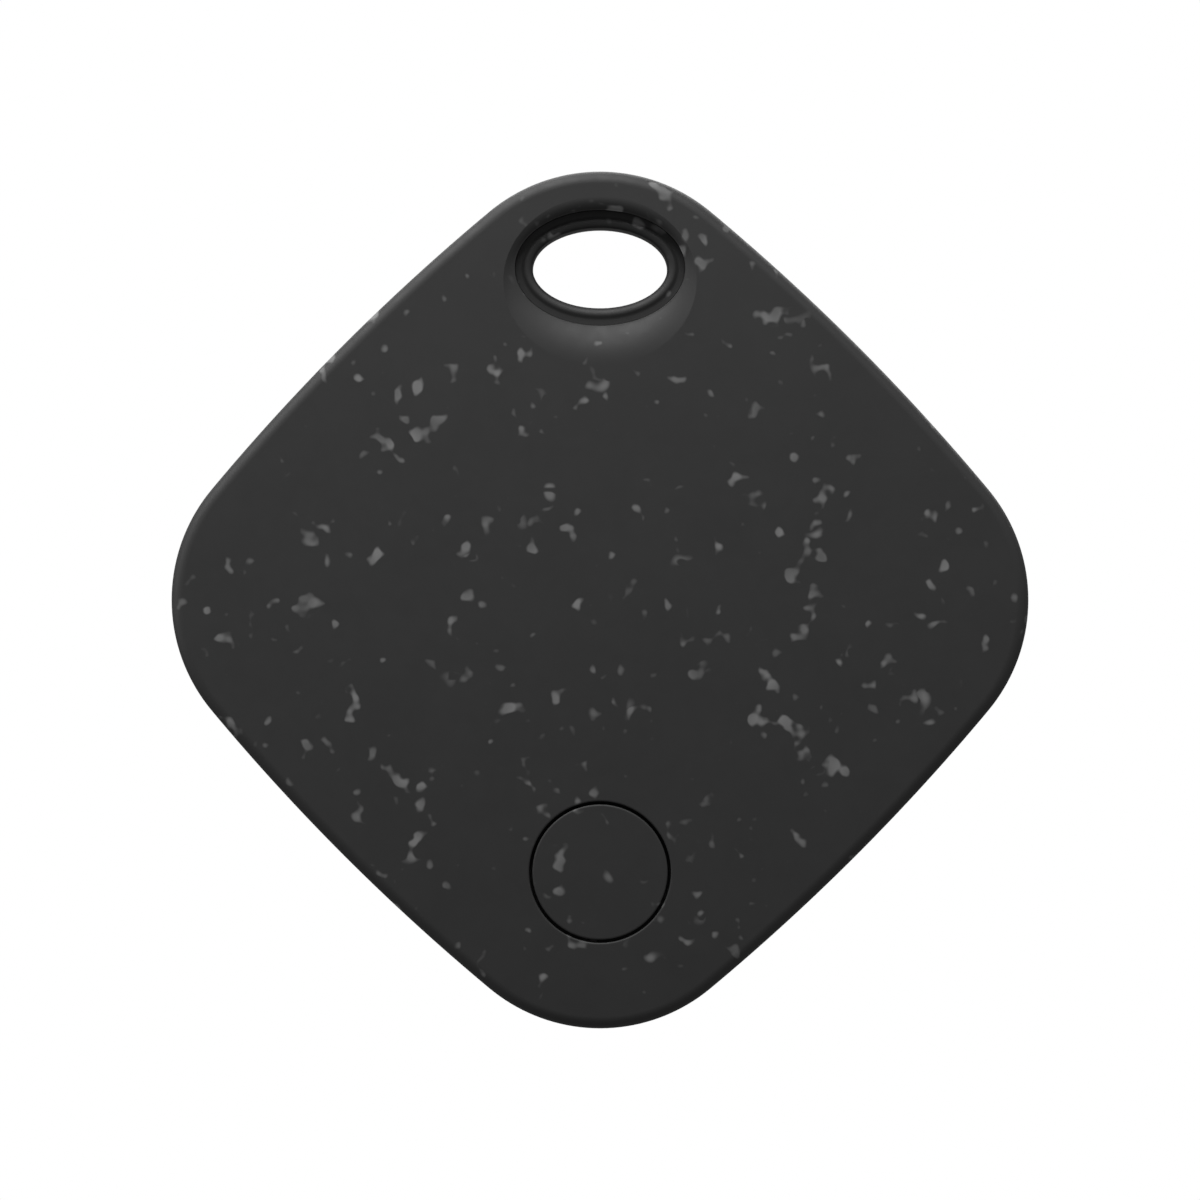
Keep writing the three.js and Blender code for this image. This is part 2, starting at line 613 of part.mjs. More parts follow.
// Middle lines of the bent contacts, along x or y and up z, and how wide each strip is
const SPRING = { foot: [[-1.2, 1.55], [0.7, 1.55], [1.1, 1.8]], width: 0.9 };
const NEGATIVE = {
  line: [[-5.5, 0.76], [-3, 0.76], [1.2, 0.43], [2.2, 0.43], [3, 0.55]],
  width: 2.4,
};
const POSITIVE = {
  line: [[10.58, 0.76], [9.73, 0.76], [9.58, 0.6], [9.58, -0.9], [9.83, -1.3]],
  width: 3,
};

const buzzerLayer = (radius, z) => cylinder(radius, z, z + BUZZER.thickness, 0, BUZZER_Y, BUZZER_ROUND);

function buzzerGlue() {
  const { outer, inner, back, front } = BUZZER_GLUE;
  return tube(outer, inner, back, front, 0, BUZZER_Y, BUZZER_ROUND);
}

function stripGeometry(line, width) {
  const shape = new THREE.Shape(bentStrip(line, CONTACT_THICKNESS));
  return new THREE.ExtrudeGeometry(shape, { depth: width, bevelEnabled: false });
}

// A spring finger on the board that bends up to the given level.
function buzzerSpring(x, top) {
  const line = [...SPRING.foot, [0, top - 0.1], [-0.4, top - 0.08], [-0.8, top - 0.3]];
  const geometry = stripGeometry(line, SPRING.width).rotateX(Math.PI / 2);
  return solid(geometry.translate(x, BUZZER_Y + SPRING.width / 2, 0));
}

function negativeContact() {
  const geometry = stripGeometry(NEGATIVE.line, NEGATIVE.width).rotateX(Math.PI / 2);
  return solid(geometry.translate(0, CELL_Y + NEGATIVE.width / 2, 0));
}

function positiveContact() {
  const geometry = stripGeometry(POSITIVE.line, POSITIVE.width).rotateY(Math.PI / 2);
  return solid(geometry.rotateX(Math.PI / 2).translate(-POSITIVE.width / 2, 0, 0));
}

// ---- assembly --------------------------------------------------------------------

const tag = new THREE.Group();
tag.rotation.x = Math.PI / 2;
tag.position.z = -HOLE_Y;

function place(name, body, material) {
  const mesh = new THREE.Mesh(geometryOf(body), material);
  mesh.name = name;
  tag.add(mesh);
}

const blank = frontBlank();
place('front_shell', frontShell(blank), SHELL);
place('rear_shell', rearShell(), SHELL);
place('shell_gasket', shellGasket(), SILICONE);

place('button_cap', buttonCap(blank), SHELL);
place('button_membrane', turned(MEMBRANE_PROFILE, 0, BUTTON_Y, BUTTON_ROUND), SILICONE);
place('switch_body', switchBody(), CHIP);
place('switch_cover', switchCover(), STEEL);
place('switch_plunger', turned(PLUNGER_PROFILE, 0, BUTTON_Y, SMALL_ROUND), CHIP);

place('battery_door', batteryDoor(), SHELL);
place('door_seal', torus(SEAL.r, SEAL.section, SEAL.z, CELL_Y), SILICONE);
place('door_pad', doorPad(), FOAM);

place('battery_can', batteryCan(), STEEL);
place('battery_cap', batteryCap(), STEEL);
place('battery_gasket', batteryGasket(), INNER_PLASTIC);
place('battery_core', batteryCore(), FOAM);

place('battery_tray', batteryTray(), INNER_PLASTIC);
place('main_board', mainBoard(), BOARD);
SCREWS.forEach((position, i) => place(`board_screw_${i + 1}`, screw(position), STEEL));
place('negative_contact', negativeContact(), GOLD);
place('positive_contact', positiveContact(), GOLD);

BOARD_PARTS.forEach(({ name, size, at, material }) => place(name, chip(...size, ...at), material));
CAPACITOR_PLACES.forEach(
  (at, i) => place(`capacitor_${i + 1}`, chip(...CAPACITOR_SIZE, ...at), CAPACITOR),
);

place('buzzer_adhesive', buzzerGlue(), FOAM);
place('buzzer_disc', buzzerLayer(BUZZER.disc, DISC_Z), BRASS);
place('buzzer_ceramic', buzzerLayer(BUZZER.ceramic, CERAMIC_Z), CERAMIC);
place('buzzer_spring_centre', buzzerSpring(0, CERAMIC_Z), GOLD);
place('buzzer_spring_edge', buzzerSpring(6.2, DISC_Z), GOLD);

export default tag;
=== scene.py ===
from math import atan2, copysign, cos, pi, radians, sin, sqrt

import bmesh
import bpy
import numpy as np
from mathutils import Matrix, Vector
from mathutils.geometry import delaunay_2d_cdt

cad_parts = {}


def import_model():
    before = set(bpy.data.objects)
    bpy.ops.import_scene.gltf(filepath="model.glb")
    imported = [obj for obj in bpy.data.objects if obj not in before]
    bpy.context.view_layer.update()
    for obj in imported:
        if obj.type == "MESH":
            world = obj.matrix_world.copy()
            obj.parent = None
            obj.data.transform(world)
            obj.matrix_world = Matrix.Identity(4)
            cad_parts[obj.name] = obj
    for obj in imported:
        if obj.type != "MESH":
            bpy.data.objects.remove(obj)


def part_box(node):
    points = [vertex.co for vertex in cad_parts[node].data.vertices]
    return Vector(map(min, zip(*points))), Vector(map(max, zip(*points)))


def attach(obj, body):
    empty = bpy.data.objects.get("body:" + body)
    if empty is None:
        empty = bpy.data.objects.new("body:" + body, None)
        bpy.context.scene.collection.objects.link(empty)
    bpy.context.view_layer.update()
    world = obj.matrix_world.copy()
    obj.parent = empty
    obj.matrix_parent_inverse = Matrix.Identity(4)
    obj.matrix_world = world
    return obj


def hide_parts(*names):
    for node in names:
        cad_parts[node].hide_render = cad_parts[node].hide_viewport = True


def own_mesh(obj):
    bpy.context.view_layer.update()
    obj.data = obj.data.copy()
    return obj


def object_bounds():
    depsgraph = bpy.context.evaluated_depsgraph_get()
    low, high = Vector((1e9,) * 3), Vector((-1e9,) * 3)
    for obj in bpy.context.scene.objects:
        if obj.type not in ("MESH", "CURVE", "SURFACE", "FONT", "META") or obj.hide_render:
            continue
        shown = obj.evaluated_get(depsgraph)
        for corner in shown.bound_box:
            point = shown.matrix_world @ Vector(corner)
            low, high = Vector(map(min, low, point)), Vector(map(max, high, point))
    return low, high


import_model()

CAD_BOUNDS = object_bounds()
MM = 0.001

# ---- what the frame says ----

SHELL_LOW, SHELL_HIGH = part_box("front_shell")
MIDDLE_Z = (SHELL_LOW.z + SHELL_HIGH.z) / 2


def span(node):
    """Lowest and highest corner of a CAD node as (x, u, z) in millimetres."""
    low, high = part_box(node)
    lowest = np.array((low.x, low.z - MIDDLE_Z, -high.y)) / MM
    highest = np.array((high.x, high.z - MIDDLE_Z, -low.y)) / MM
    return lowest, highest


def middle(node):
    low, high = span(node)
    return (low + high) / 2


def size(node):
    low, high = span(node)
    return high - low


def levels(node):
    """Lowest and highest z of a CAD node."""
    low, high = span(node)
    return low[2], high[2]


def plan(node):
    """A CAD node seen from the front: the middle's x and u, the width and the height."""
    return (*middle(node)[:2], *size(node)[:2])


HALF_DIAGONAL = size("front_shell")[0] / 2
SEAM_Z, FACE_Z = levels("front_shell")
BACK_Z = levels("rear_shell")[0]
HOLE_U = -MIDDLE_Z / MM
BUTTON_U = middle("button_cap")[1]
FLANGE_Z = levels("button_cap")[0]
FLANGE_RADIUS = size("button_cap")[0] / 2
DOOR_U = middle("battery_door")[1]
DOOR_RADIUS = size("battery_door")[0] / 2
CELL_RADIUS = size("battery_can")[0] / 2
BOARD_BACK_Z, BOARD_FRONT_Z = levels("main_board")
BOARD_TOP_U = span("main_board")[1][1]

# ---- driving dimensions that a box doesn't give, in millimetres ----

CORNER_RADIUS = 7.85
SIDE_RADIUS = 99.2
FACE_SPHERE = 190.0
FACE_FILLET = 0.5
BACK_FILLET = 1.3
SEAM_GAP = 0.08
SEAM_ROUND = 0.07
SEAM_DEPTH = 0.25  # of the groove along the seam, behind which the shells all but touch
RIM_WALL = 2.0
FACE_WALL = 1.0
BACK_FLOOR_Z = -2.6
LEDGE_Z = 0.8
BULKHEAD_U = 11.2
TONGUE_INSET = 1.25
TONGUE_TOP_Z = 0.3
FIT = 0.05
PAST = 1.0  # how far a tool reaches past what it cuts
STAGGER = 0.1  # between tools that overlap, so that no two faces share a plane
BUZZER_POCKET = (7.4, 2.95)  # its radius and its ceiling
BOSS_RADIUS = 1.4
BOSS_BORE = 0.65
BOSS_TOP_Z = 3.2

HOLE = (3.07, 1.83)  # half width and half height of the key-ring hole
COLLAR_ROUND = 0.3
COLLAR_DROP = 0.8  # from the face down to the collar's lip
SHOULDER_START = 0.55  # how far outside the hole the flat shoulder starts
SHOULDER_DROP = 0.08  # from the collar's lip down to the shoulder
OPENING_GROWTH = 0.8
OPENING_ROUND = 0.04
DISH = (4.4, 3.85)
DISH_U = HOLE_U - 0.6
DISH_POWER = 2.5  # how fast the scoop steepens towards the opening
DISH_RINGS = 19
DISH_DEPTHS = {"below": 0.48, "side": 0.26, "above": 0.26}
BACK_FLARE = 0.4

BUTTON_RADIUS = 3.08
BUTTON_GAP = 0.14
BUTTON_ROUND = 0.07
BUTTON_SEAT = (3.9, 2.6)  # its radius and its ceiling
BUTTON_EDGE = 0.04
FLANGE_THICKNESS = 0.25
MEMBRANE_WALL = 0.14

DOOR_GAP = 0.1
DOOR_INNER_Z = -3.15
DOOR_SEAT_Z = -3.1
DOOR_BORE = 10.7
DOOR_EDGE = 0.2
BORE_EDGE = 0.12
SEAT_EDGE = 0.08
NOTCH_RADIUS = 11.1
NOTCH_HALF = radians(11)
LUG_HALF = radians(9)
LUG = {"inner": 10.35, "outer": 11.0, "low_z": -2.5, "high_z": -2.1}
STOP = {"inner": 10.75, "outer": 11.4, "half": 0.03, "lead": 0.06, "root": 0.2, "top_z": -2.1}
SEAL_GROOVE = {"inner": 11.35, "outer": 11.85, "floor_z": -3.6}
SKIRT = {"inner": 10.15, "outer": 10.55, "top_z": -2.05}
COIN_SLOT = {"reach": 5.2, "radius": 0.85, "depth": 0.5}
MARK_DEPTH = 0.12
MARK_RADIUS = 0.3
REAR_MARK_GAP = 1.15  # from the door's rim out to the marks beside it
DOOR_MARK_RADIUS = 10.8
ARROW_RADIUS = 8.6
ARROW_WIDTH = 0.45
ARROW_SWEEPS = [(60, 120), (240, 300)]  # degrees about the door's axis
LUG_ANGLES = [radians(90 + 120 * i) for i in range(3)]
DOOR_TURN = radians(30)

CELL_WALL = 0.25
PLUS_ARM = (3.0, 0.5)  # length and width
PLUS_RISE = 4.6  # from the cell's middle

TRAY = {"inset": 2.5, "floor_z": 0.45, "window": 7.0, "wall": (11.0, 10.15)}
SCREW_CLEARANCE = 0.75
SCREW = {"pitch": 0.3, "core": 0.5, "crest": 0.6, "head_z": 0.4}
SCREW_HEAD = [(0.0, -0.1), (0.85, -0.1), (1.02, -0.07), (1.1, 0.02)]  # its (radius, z)
SCREW_TIP = [(0.45, -0.24), (0.2, -0.02), (0.0, 0.0)]  # its (radius, z) from the tip
PAD_HEIGHT = 0.02
PAD_EDGE = 0.005
SWITCH_WELL_Z = 1.62
METAL = 0.12  # thickness of the contacts
BUZZER_U = middle("buzzer_disc")[1]
SCREW_PLACES = [middle(f"board_screw_{i}")[:2] for i in range(1, 5)]

ROUND = 128  # points around a large circle
OVAL_POINTS = 112
DOT_POINTS = 32
FACE_SPACING = 0.7  # between the points that carry the dome
CORNER_STEPS = 36
SIDE_STEPS = 30
HAIRLINE = 0.02  # between the shoulder and the opening around it
TOUCH = 0.002  # between faces that all but touch
GUARD = 0.04  # from a rounded edge to the ring that keeps its shading off the face
FILLET_STEPS = 8
CREASE = radians(32)  # a sharper bend than this stays an edge

# ---- skins ----


def inside(points, loop):
    """Which points lie inside a closed loop, both as rows of (x, u)."""
    a, b = loop, np.roll(loop, -1, axis=0)
    x, u = points[:, 0][:, None], points[:, 1][:, None]
    spans = (a[:, 1] > u) != (b[:, 1] > u)
    rise = np.where(b[:, 1] == a[:, 1], 1.0, b[:, 1] - a[:, 1])
    at = a[:, 0] + (u - a[:, 1]) * (b[:, 0] - a[:, 0]) / rise
    return (spans & (x < at)).sum(axis=1) % 2 == 1


def clear_of(points, loop, distance):
    """Which points are more than a distance from every corner and side of a loop."""
    a, b = loop, np.roll(loop, -1, axis=0)
    side = b - a
    offset = points[:, None, :] - a
    share = (offset * side).sum(axis=2) / np.maximum((side * side).sum(axis=1), 1e-12)
    nearest = a + np.clip(share, 0, 1)[:, :, None] * side
    gap = np.linalg.norm(points[:, None, :] - nearest, axis=2).min(axis=1)
    return gap > distance


def honeycomb(loop, spacing):
    """Evenly spaced points over the box around a loop."""
    low, high = loop.min(axis=0), loop.max(axis=0)
    rows = np.arange(low[1], high[1], spacing * sqrt(0.75))
    columns = np.arange(low[0], high[0], spacing)
    return np.array([(x + (j % 2) * spacing / 2, u) for j, u in enumerate(rows) for x in columns])


def level_at(level, points):
    """Heights of a level, which is a number or a function of (x, u)."""
    if callable(level):
        return level(points[:, 0], points[:, 1])
    return np.full(len(points), float(level))


class Skin:
    """A closed surface that grows ring by ring. A ring is a list of vertex numbers."""

    def __init__(self):
        self.points = []
        self.faces = []

    def ring(self, points, level, offset=0.0):
        start = len(self.points)
        heights = level_at(level, points) + offset
        self.points.extend((x, u, z) for (x, u), z in zip(points, heights))
        return list(range(start, len(self.points)))

    def hoop(self, x, u, radius, z, count):
        """A ring about (x, u), or the one point that a radius of nothing leaves. The radius may
        differ from point to point."""
        if np.max(radius) < 1e-6:
            return self.ring(np.array([(x, u)]), z)
        turns = 2 * pi * np.arange(count) / count
        points = np.stack((x + radius * np.cos(turns), u + radius * np.sin(turns)), axis=1)
        return self.ring(points, z)

    def bands(self, rings):
        """Joins rings in turn. Neighbours have as many points as each other, or one is a tip."""
        for a, b in zip(rings, rings[1:]):
            count = max(len(a), len(b))
            for i in range(count):
                j = (i + 1) % count
                if len(b) == 1:
                    self.faces.append((a[i], a[j], b[0]))
                elif len(a) == 1:
                    self.faces.append((a[0], b[j], b[i]))
                else:
                    self.faces.append((a[i], a[j], b[j], b[i]))

    def wall(self, loop, steps):
        """Rings of a loop grown by each step's (growth, level, offset). Returns the end rings."""
        rings = [self.ring(loop(growth), level, offset) for growth, level, offset in steps]
        self.bands(rings)
        return rings[0], rings[-1]

    def sheet(self, rim, holes=(), level=0.0, spacing=None):
        """Triangles between a rim and the holes in it, with more points where it is curved."""
        loops = [rim, *holes]
        flat = [np.array([self.points[i][:2] for i in loop]) for loop in loops]
        ids = [i for loop in loops for i in loop]
        if spacing:
            extra = honeycomb(flat[0], spacing)
            wanted = inside(extra, flat[0])
            for hole in flat[1:]:
                wanted &= ~inside(extra, hole)
            for loop in flat:
                wanted &= clear_of(extra, loop, spacing * 0.6)
            ids += self.ring(extra[wanted], level)
        edges = []
        start = 0
        for loop in loops:
            count = len(loop)
            edges += [(start + i, start + (i + 1) % count) for i in range(count)]
            start += count
        corners = [Vector(self.points[i][:2]) for i in ids]
        _, _, faces, origins, _, _ = delaunay_2d_cdt(corners, edges, [], 1, 1e-7, True)
        triangles = [[ids[origins[v][0]] for v in face] for face in faces]
        centres = np.array([np.mean([self.points[i][:2] for i in t], axis=0) for t in triangles])
        wanted = np.ones(len(triangles), bool)
        for hole in flat[1:]:
            wanted &= ~inside(centres, hole)
        self.faces += [tuple(t) for t, kept in zip(triangles, wanted) if kept]


def rounding(radius, level, up, inward, steps=4):
    """Quarter round from a wall to a level, as steps for Skin.wall. up is 1 for a top edge and
    -1 for a bottom one; inward is -1 where the loop is the piece's outside and 1 for a hole."""
    turns = [pi / 2 * i / steps for i in range(steps + 1)]
    return [
        (inward * radius * (1 - cos(t)), level, -up * radius * (1 - sin(t)))
        for t in turns
    ]


def edge_steps(low, high, radius, inward, steps=3):
    """Steps for a wall from one level to another, with both its edges rounded."""
    bottom = rounding(radius, low, -1, inward, steps)[::-1]
    return bottom + rounding(radius, high, 1, inward, steps)


def placed(name, data):
    """A new object in the scene."""
    made = bpy.data.objects.new(name, data)
    bpy.context.scene.collection.objects.link(made)
    return made


def mesh_object(name, skin):
    """The skin as a Blender object that still lies down, in millimetres."""
    mesh = bpy.data.meshes.new(name)
    mesh.from_pydata(skin.points, [], skin.faces)
    piece = placed(name, mesh)
    tidy(piece, 0.0)
    return piece


def tidy(piece, weld):
    """Faces outward, no doubled points and no loose ones."""
    work = bmesh.new()
    work.from_mesh(piece.data)
    if weld:
        bmesh.ops.remove_doubles(work, verts=work.verts, dist=weld)
        bmesh.ops.dissolve_degenerate(work, edges=work.edges, dist=weld)
    loose = [v for v in work.verts if not v.link_faces]
    bmesh.ops.delete(work, geom=loose, context="VERTS")
    bmesh.ops.recalc_face_normals(work, faces=work.faces)
    work.to_mesh(piece.data)
    work.free()


def combine(piece, operation, tools):
    """Joins the tools to the piece, or cuts them from it, and removes the tools."""
    group = bpy.data.collections.new("tools")
    for tool in tools:
        group.objects.link(tool)
    boolean = piece.modifiers.new("boolean", "BOOLEAN")
    boolean.operation = operation
    boolean.operand_type = "COLLECTION"
    boolean.collection = group
    boolean.solver = "EXACT"
    depsgraph = bpy.context.evaluated_depsgraph_get()
    made = bpy.data.meshes.new_from_object(piece.evaluated_get(depsgraph))
    piece.modifiers.clear()
    piece.data = made
    for tool in tools:
        bpy.data.objects.remove(tool)
    bpy.data.collections.remove(group)
    tidy(piece, 1e-4)
    return piece


def cut(piece, *tools):
    return combine(piece, "DIFFERENCE", tools)


def join(piece, *tools):
    return combine(piece, "UNION", tools)


def stand_up(piece):
    """Turns a drawn piece into the frame's metres and smooths what isn't a crease."""
    mesh = piece.data
    drawn = np.empty(len(mesh.vertices) * 3)
    mesh.vertices.foreach_get("co", drawn)
    x, u, z = drawn.reshape(-1, 3).T * MM
    standing = np.stack((x, -z, u + MIDDLE_Z), axis=1)
    mesh.vertices.foreach_set("co", standing.ravel())
    mesh.update()
    tidy(piece, 0.0)
    mesh.shade_smooth()
    mesh.set_sharp_from_angle(angle=CREASE)
    return piece


def keep(piece, node, body, material):
    """Finishes a drawn piece: stands it up, paints it and lets it stand for its CAD node."""
    stand_up(piece)
    piece.data.materials.clear()
    piece.data.materials.append(material)
    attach(piece, body)
    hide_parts(node)
    return piece


# ---- loops: closed lines that can grow ----

CORNER_CENTRE = HALF_DIAGONAL - CORNER_RADIUS


def side_centre():
    """How far behind the middle a side arc is centred, so that it meets its corners smoothly."""
    between = (SIDE_RADIUS - CORNER_RADIUS) ** 2
    square = CORNER_CENTRE**2
    return (-sqrt(2) * CORNER_CENTRE + sqrt(2 * square - 4 * (square - between))) / 2


SIDE_CENTRE = side_centre()
CORNER_SWEEP = atan2(
    SIDE_CENTRE * sqrt(0.5),
    CORNER_CENTRE + SIDE_CENTRE * sqrt(0.5),
)


def arc(x, u, radius, start, end, steps):
    turns = start + (end - start) * np.arange(steps) / steps
    return np.stack((x + radius * np.cos(turns), u + radius * np.sin(turns)), axis=1)


def outline(inset=0.0):
    """The tag's outline as a loop: four corner arcs joined by four long side arcs."""

    def grown(growth=0.0):
        shrink = inset - growth
        corner, side = CORNER_RADIUS - shrink, SIDE_RADIUS - shrink
        parts = []
        for number in range(4):
            turn = number * pi / 2
            leave, arrive = turn + CORNER_SWEEP, turn + pi / 2 - CORNER_SWEEP
            x, u = CORNER_CENTRE * cos(turn), CORNER_CENTRE * sin(turn)
            parts.append(arc(x, u, corner, turn - CORNER_SWEEP, leave, CORNER_STEPS))
            turn += pi / 4
            x, u = -SIDE_CENTRE * cos(turn), -SIDE_CENTRE * sin(turn)
            parts.append(arc(x, u, side, leave, arrive, SIDE_STEPS))
        return np.concatenate(parts)

    return grown


def pocket(inset, top):
    """The outline cut off straight at a height, short of the key-ring hole."""

    def grown(growth=0.0):
        points = outline(inset)(growth)
        points[:, 1] = np.minimum(points[:, 1], top + growth)
        return points

    return grown


def circle(x, u, radius, count=ROUND):
    return lambda growth=0.0: arc(x, u, radius + growth, 0, 2 * pi, count)


def oval(width, height, u, count=OVAL_POINTS):
    def grown(growth=0.0):
        turns = 2 * pi * np.arange(count) / count
        x = (width + growth) * np.cos(turns)
        return np.stack((x, u + (height + growth) * np.sin(turns)), axis=1)

    return grown


def rounded_box(x, u, width, height, radius=0.1, steps=4):
    """A rectangle with rounded corners, as a loop around (x, u)."""

    def grown(growth=0.0):
        reach = max(radius + growth, 0.01)
        across, up = width / 2 + growth - reach, height / 2 + growth - reach
        corners = []
        for number, (i, j) in enumerate(((1, 1), (-1, 1), (-1, -1), (1, -1))):
            turns = pi / 2 * (number + np.arange(steps + 1) / steps)
            corner = (x + i * across + reach * np.cos(turns), u + j * up + reach * np.sin(turns))
            corners.append(np.stack(corner, axis=1))
        return np.concatenate(corners)

    return grown


def stadium(x, u, reach, radius, steps=20):
    """A slot's outline: two half circles joined by straight sides along x."""
    quarter = pi / 2

    def grown(growth=0.0):
        right = arc(x + reach, u, radius + growth, -quarter, quarter, steps)
        left = arc(x - reach, u, radius + growth, quarter, 3 * quarter, steps)
        return np.concatenate((right, left))

    return grown


def sector(inner, outer, centre, half_width, steps=10):
    """A piece of a ring about the door's axis, as a loop of fixed size."""
    start, end = centre - half_width, centre + half_width
    turns = np.linspace(start, end, steps)
    there = [(outer * cos(t), DOOR_U + outer * sin(t)) for t in turns]
    back = [(inner * cos(t), DOOR_U + inner * sin(t)) for t in turns[::-1]]
    points = np.array(there + back)
    return lambda growth=0.0: points


# ---- ways to draw a piece ----


def plate(name, rim, low, high, holes=(), edge=0.05, steps=3):
    """A slab between two levels with holes through it and all its edges rounded."""
    skin = Skin()
    walls = [skin.wall(rim, edge_steps(low, high, edge, -1, steps))]
    walls += [skin.wall(hole, edge_steps(low, high, edge, 1, steps)) for hole in holes]
    for end, level in ((0, low), (1, high)):
        rim_ring, *hole_rings = [wall[end] for wall in walls]
        skin.sheet(rim_ring, hole_rings, level)
    return mesh_object(name, skin)


def block(rim, low, high, spacing=None):
    """A sharp-edged solid that joins or cuts another piece, and then goes."""
    skin = Skin()
    bottom, top = skin.wall(rim, [(0, low, 0), (0, high, 0)])
    skin.sheet(bottom, (), low)
    skin.sheet(top, (), high, spacing)
    return mesh_object("tool", skin)


def soften(line, radius, closed=False, steps=4):
    """Rounds the corners of a line of (a, b) points."""
    points = [np.array(p, float) for p in line]
    count = len(points)
    made = []
    for i, point in enumerate(points):
        if not closed and i in (0, count - 1):
            made.append(tuple(point))
            continue
        before, after = points[i - 1] - point, points[(i + 1) % count] - point
        lengths = np.linalg.norm(before), np.linalg.norm(after)
        back = min(radius, 0.45 * min(lengths))
        start, end = point + before / lengths[0] * back, point + after / lengths[1] * back
        for t in np.linspace(0, 1, steps + 1):
            made.append(tuple((1 - t) ** 2 * start + 2 * t * (1 - t) * point + t**2 * end))
    return made


def turned(name, profile, x=0.0, u=0.0, edge=0.05, count=ROUND, steps=3):
    """Turns a profile of (radius, z) about the line through (x, u). It closes on itself, or
    starts and ends on the axis."""
    closed = profile[0][0] > 0
    skin = Skin()
    corners = soften(profile, edge, closed, steps)
    rings = [skin.hoop(x, u, radius, z, count) for radius, z in corners]
    if closed:
        rings.append(rings[0])
    skin.bands(rings)
    return mesh_object(name, skin)


def strip(name, line, thickness, width, u, bend=0.3, across="u", x=0.0):
    """Sheet metal bent along a line of (a, z) points, with a along x, or along u where the
    strip's width lies across x."""
    centre = np.array(soften(line, bend, steps=6))
    along = np.gradient(centre, axis=0)
    along /= np.linalg.norm(along, axis=1)[:, None]
    normal = np.stack((-along[:, 1], along[:, 0]), axis=1) * thickness / 2
    chamfer = thickness / 4
    reach = width / 2
    skin = Skin()
    rings = []
    for level, share in ((-reach, 0.75), (chamfer - reach, 1), (reach - chamfer, 1), (reach, 0.75)):
        profile = np.concatenate((centre + normal * share, (centre - normal * share)[::-1]))
        start = len(skin.points)
        if across == "u":
            skin.points += [(x + a, u + level, z) for a, z in profile]
        else:
            skin.points += [(x + level, a, z) for a, z in profile]
        rings.append(list(range(start, len(skin.points))))
    skin.bands(rings)
    for ring in (rings[0], rings[-1]):
        last = len(ring) - 1
        for i in range(len(centre) - 1):
            skin.faces.append((ring[i], ring[i + 1], ring[last - 1 - i], ring[last - i]))
    return mesh_object(name, skin)


# ---- shells ----


def face_z(x, u):
    return FACE_Z - (x * x + u * u) / (2 * FACE_SPHERE)


def inner_face_z(x, u):
    return face_z(x, u) - FACE_WALL


def dish_steps(skin):
    """The scoop around the key-ring opening: a long soft ramp below it, steep sides that meet
    the face at a crease, and a soft top."""
    rim = oval(*DISH, DISH_U)()
    edge = oval(HOLE[0] + OPENING_GROWTH, HOLE[1] + OPENING_GROWTH, HOLE_U)
    mouth = edge(OPENING_ROUND)
    turns = 2 * pi * np.arange(OVAL_POINTS) / OVAL_POINTS
    side = np.cos(turns) ** 2
    below = np.where(np.sin(turns) < 0, 1 - side, 0)
    above = 1 - side - below
    soft = DISH_DEPTHS["below"] * below + DISH_DEPTHS["above"] * above
    steep = DISH_DEPTHS["side"] * side
    rings = [skin.ring(mouth + (rim - mouth) * out, face_z) for out in (1.12, 1.02)]
    for out in np.linspace(1, 0, DISH_RINGS):
        depth = soft * (1 - out) ** DISH_POWER + steep * (1 - out)
        rings.append(skin.ring(mouth + (rim - mouth) * out, face_z, -depth))
    bottom = np.array([skin.points[i][2] for i in rings[-1]])
    for growth, _, offset in rounding(OPENING_ROUND, 0, 1, 1)[::-1][1:]:
        rings.append(skin.ring(edge(growth), 0, bottom + offset))
    rings.append(skin.ring(edge(0), SEAM_Z))
    skin.bands(rings)
    return rings[0], rings[-1]


def front_skin():
    """The front shell's outside, with a solid inside."""
    skin = Skin()
    foot = rounding(SEAM_ROUND, SEAM_Z, -1, -1)[::-1]
    brow = rounding(FACE_FILLET, face_z, 1, -1, FILLET_STEPS)
    face = [(-FACE_FILLET - GUARD, face_z, 0), (-FACE_FILLET - 4 * GUARD, face_z, 0)]
    bottom, top = skin.wall(outline(), foot + brow + face)
    button = circle(0, BUTTON_U, BUTTON_RADIUS + BUTTON_GAP)
    face = [(BUTTON_ROUND + 4 * GUARD, face_z, 0), (BUTTON_ROUND + GUARD, face_z, 0)]
    lip = rounding(BUTTON_ROUND, face_z, 1, 1)[::-1] + [(0, SEAM_Z, 0)]
    button_top, button_bottom = skin.wall(button, face + lip)
    dish_top, dish_bottom = dish_steps(skin)
    skin.sheet(top, [button_top, dish_top], face_z, spacing=FACE_SPACING)
    skin.sheet(bottom, [button_bottom, dish_bottom], SEAM_Z)
    return mesh_object("front_shell_fine", skin)


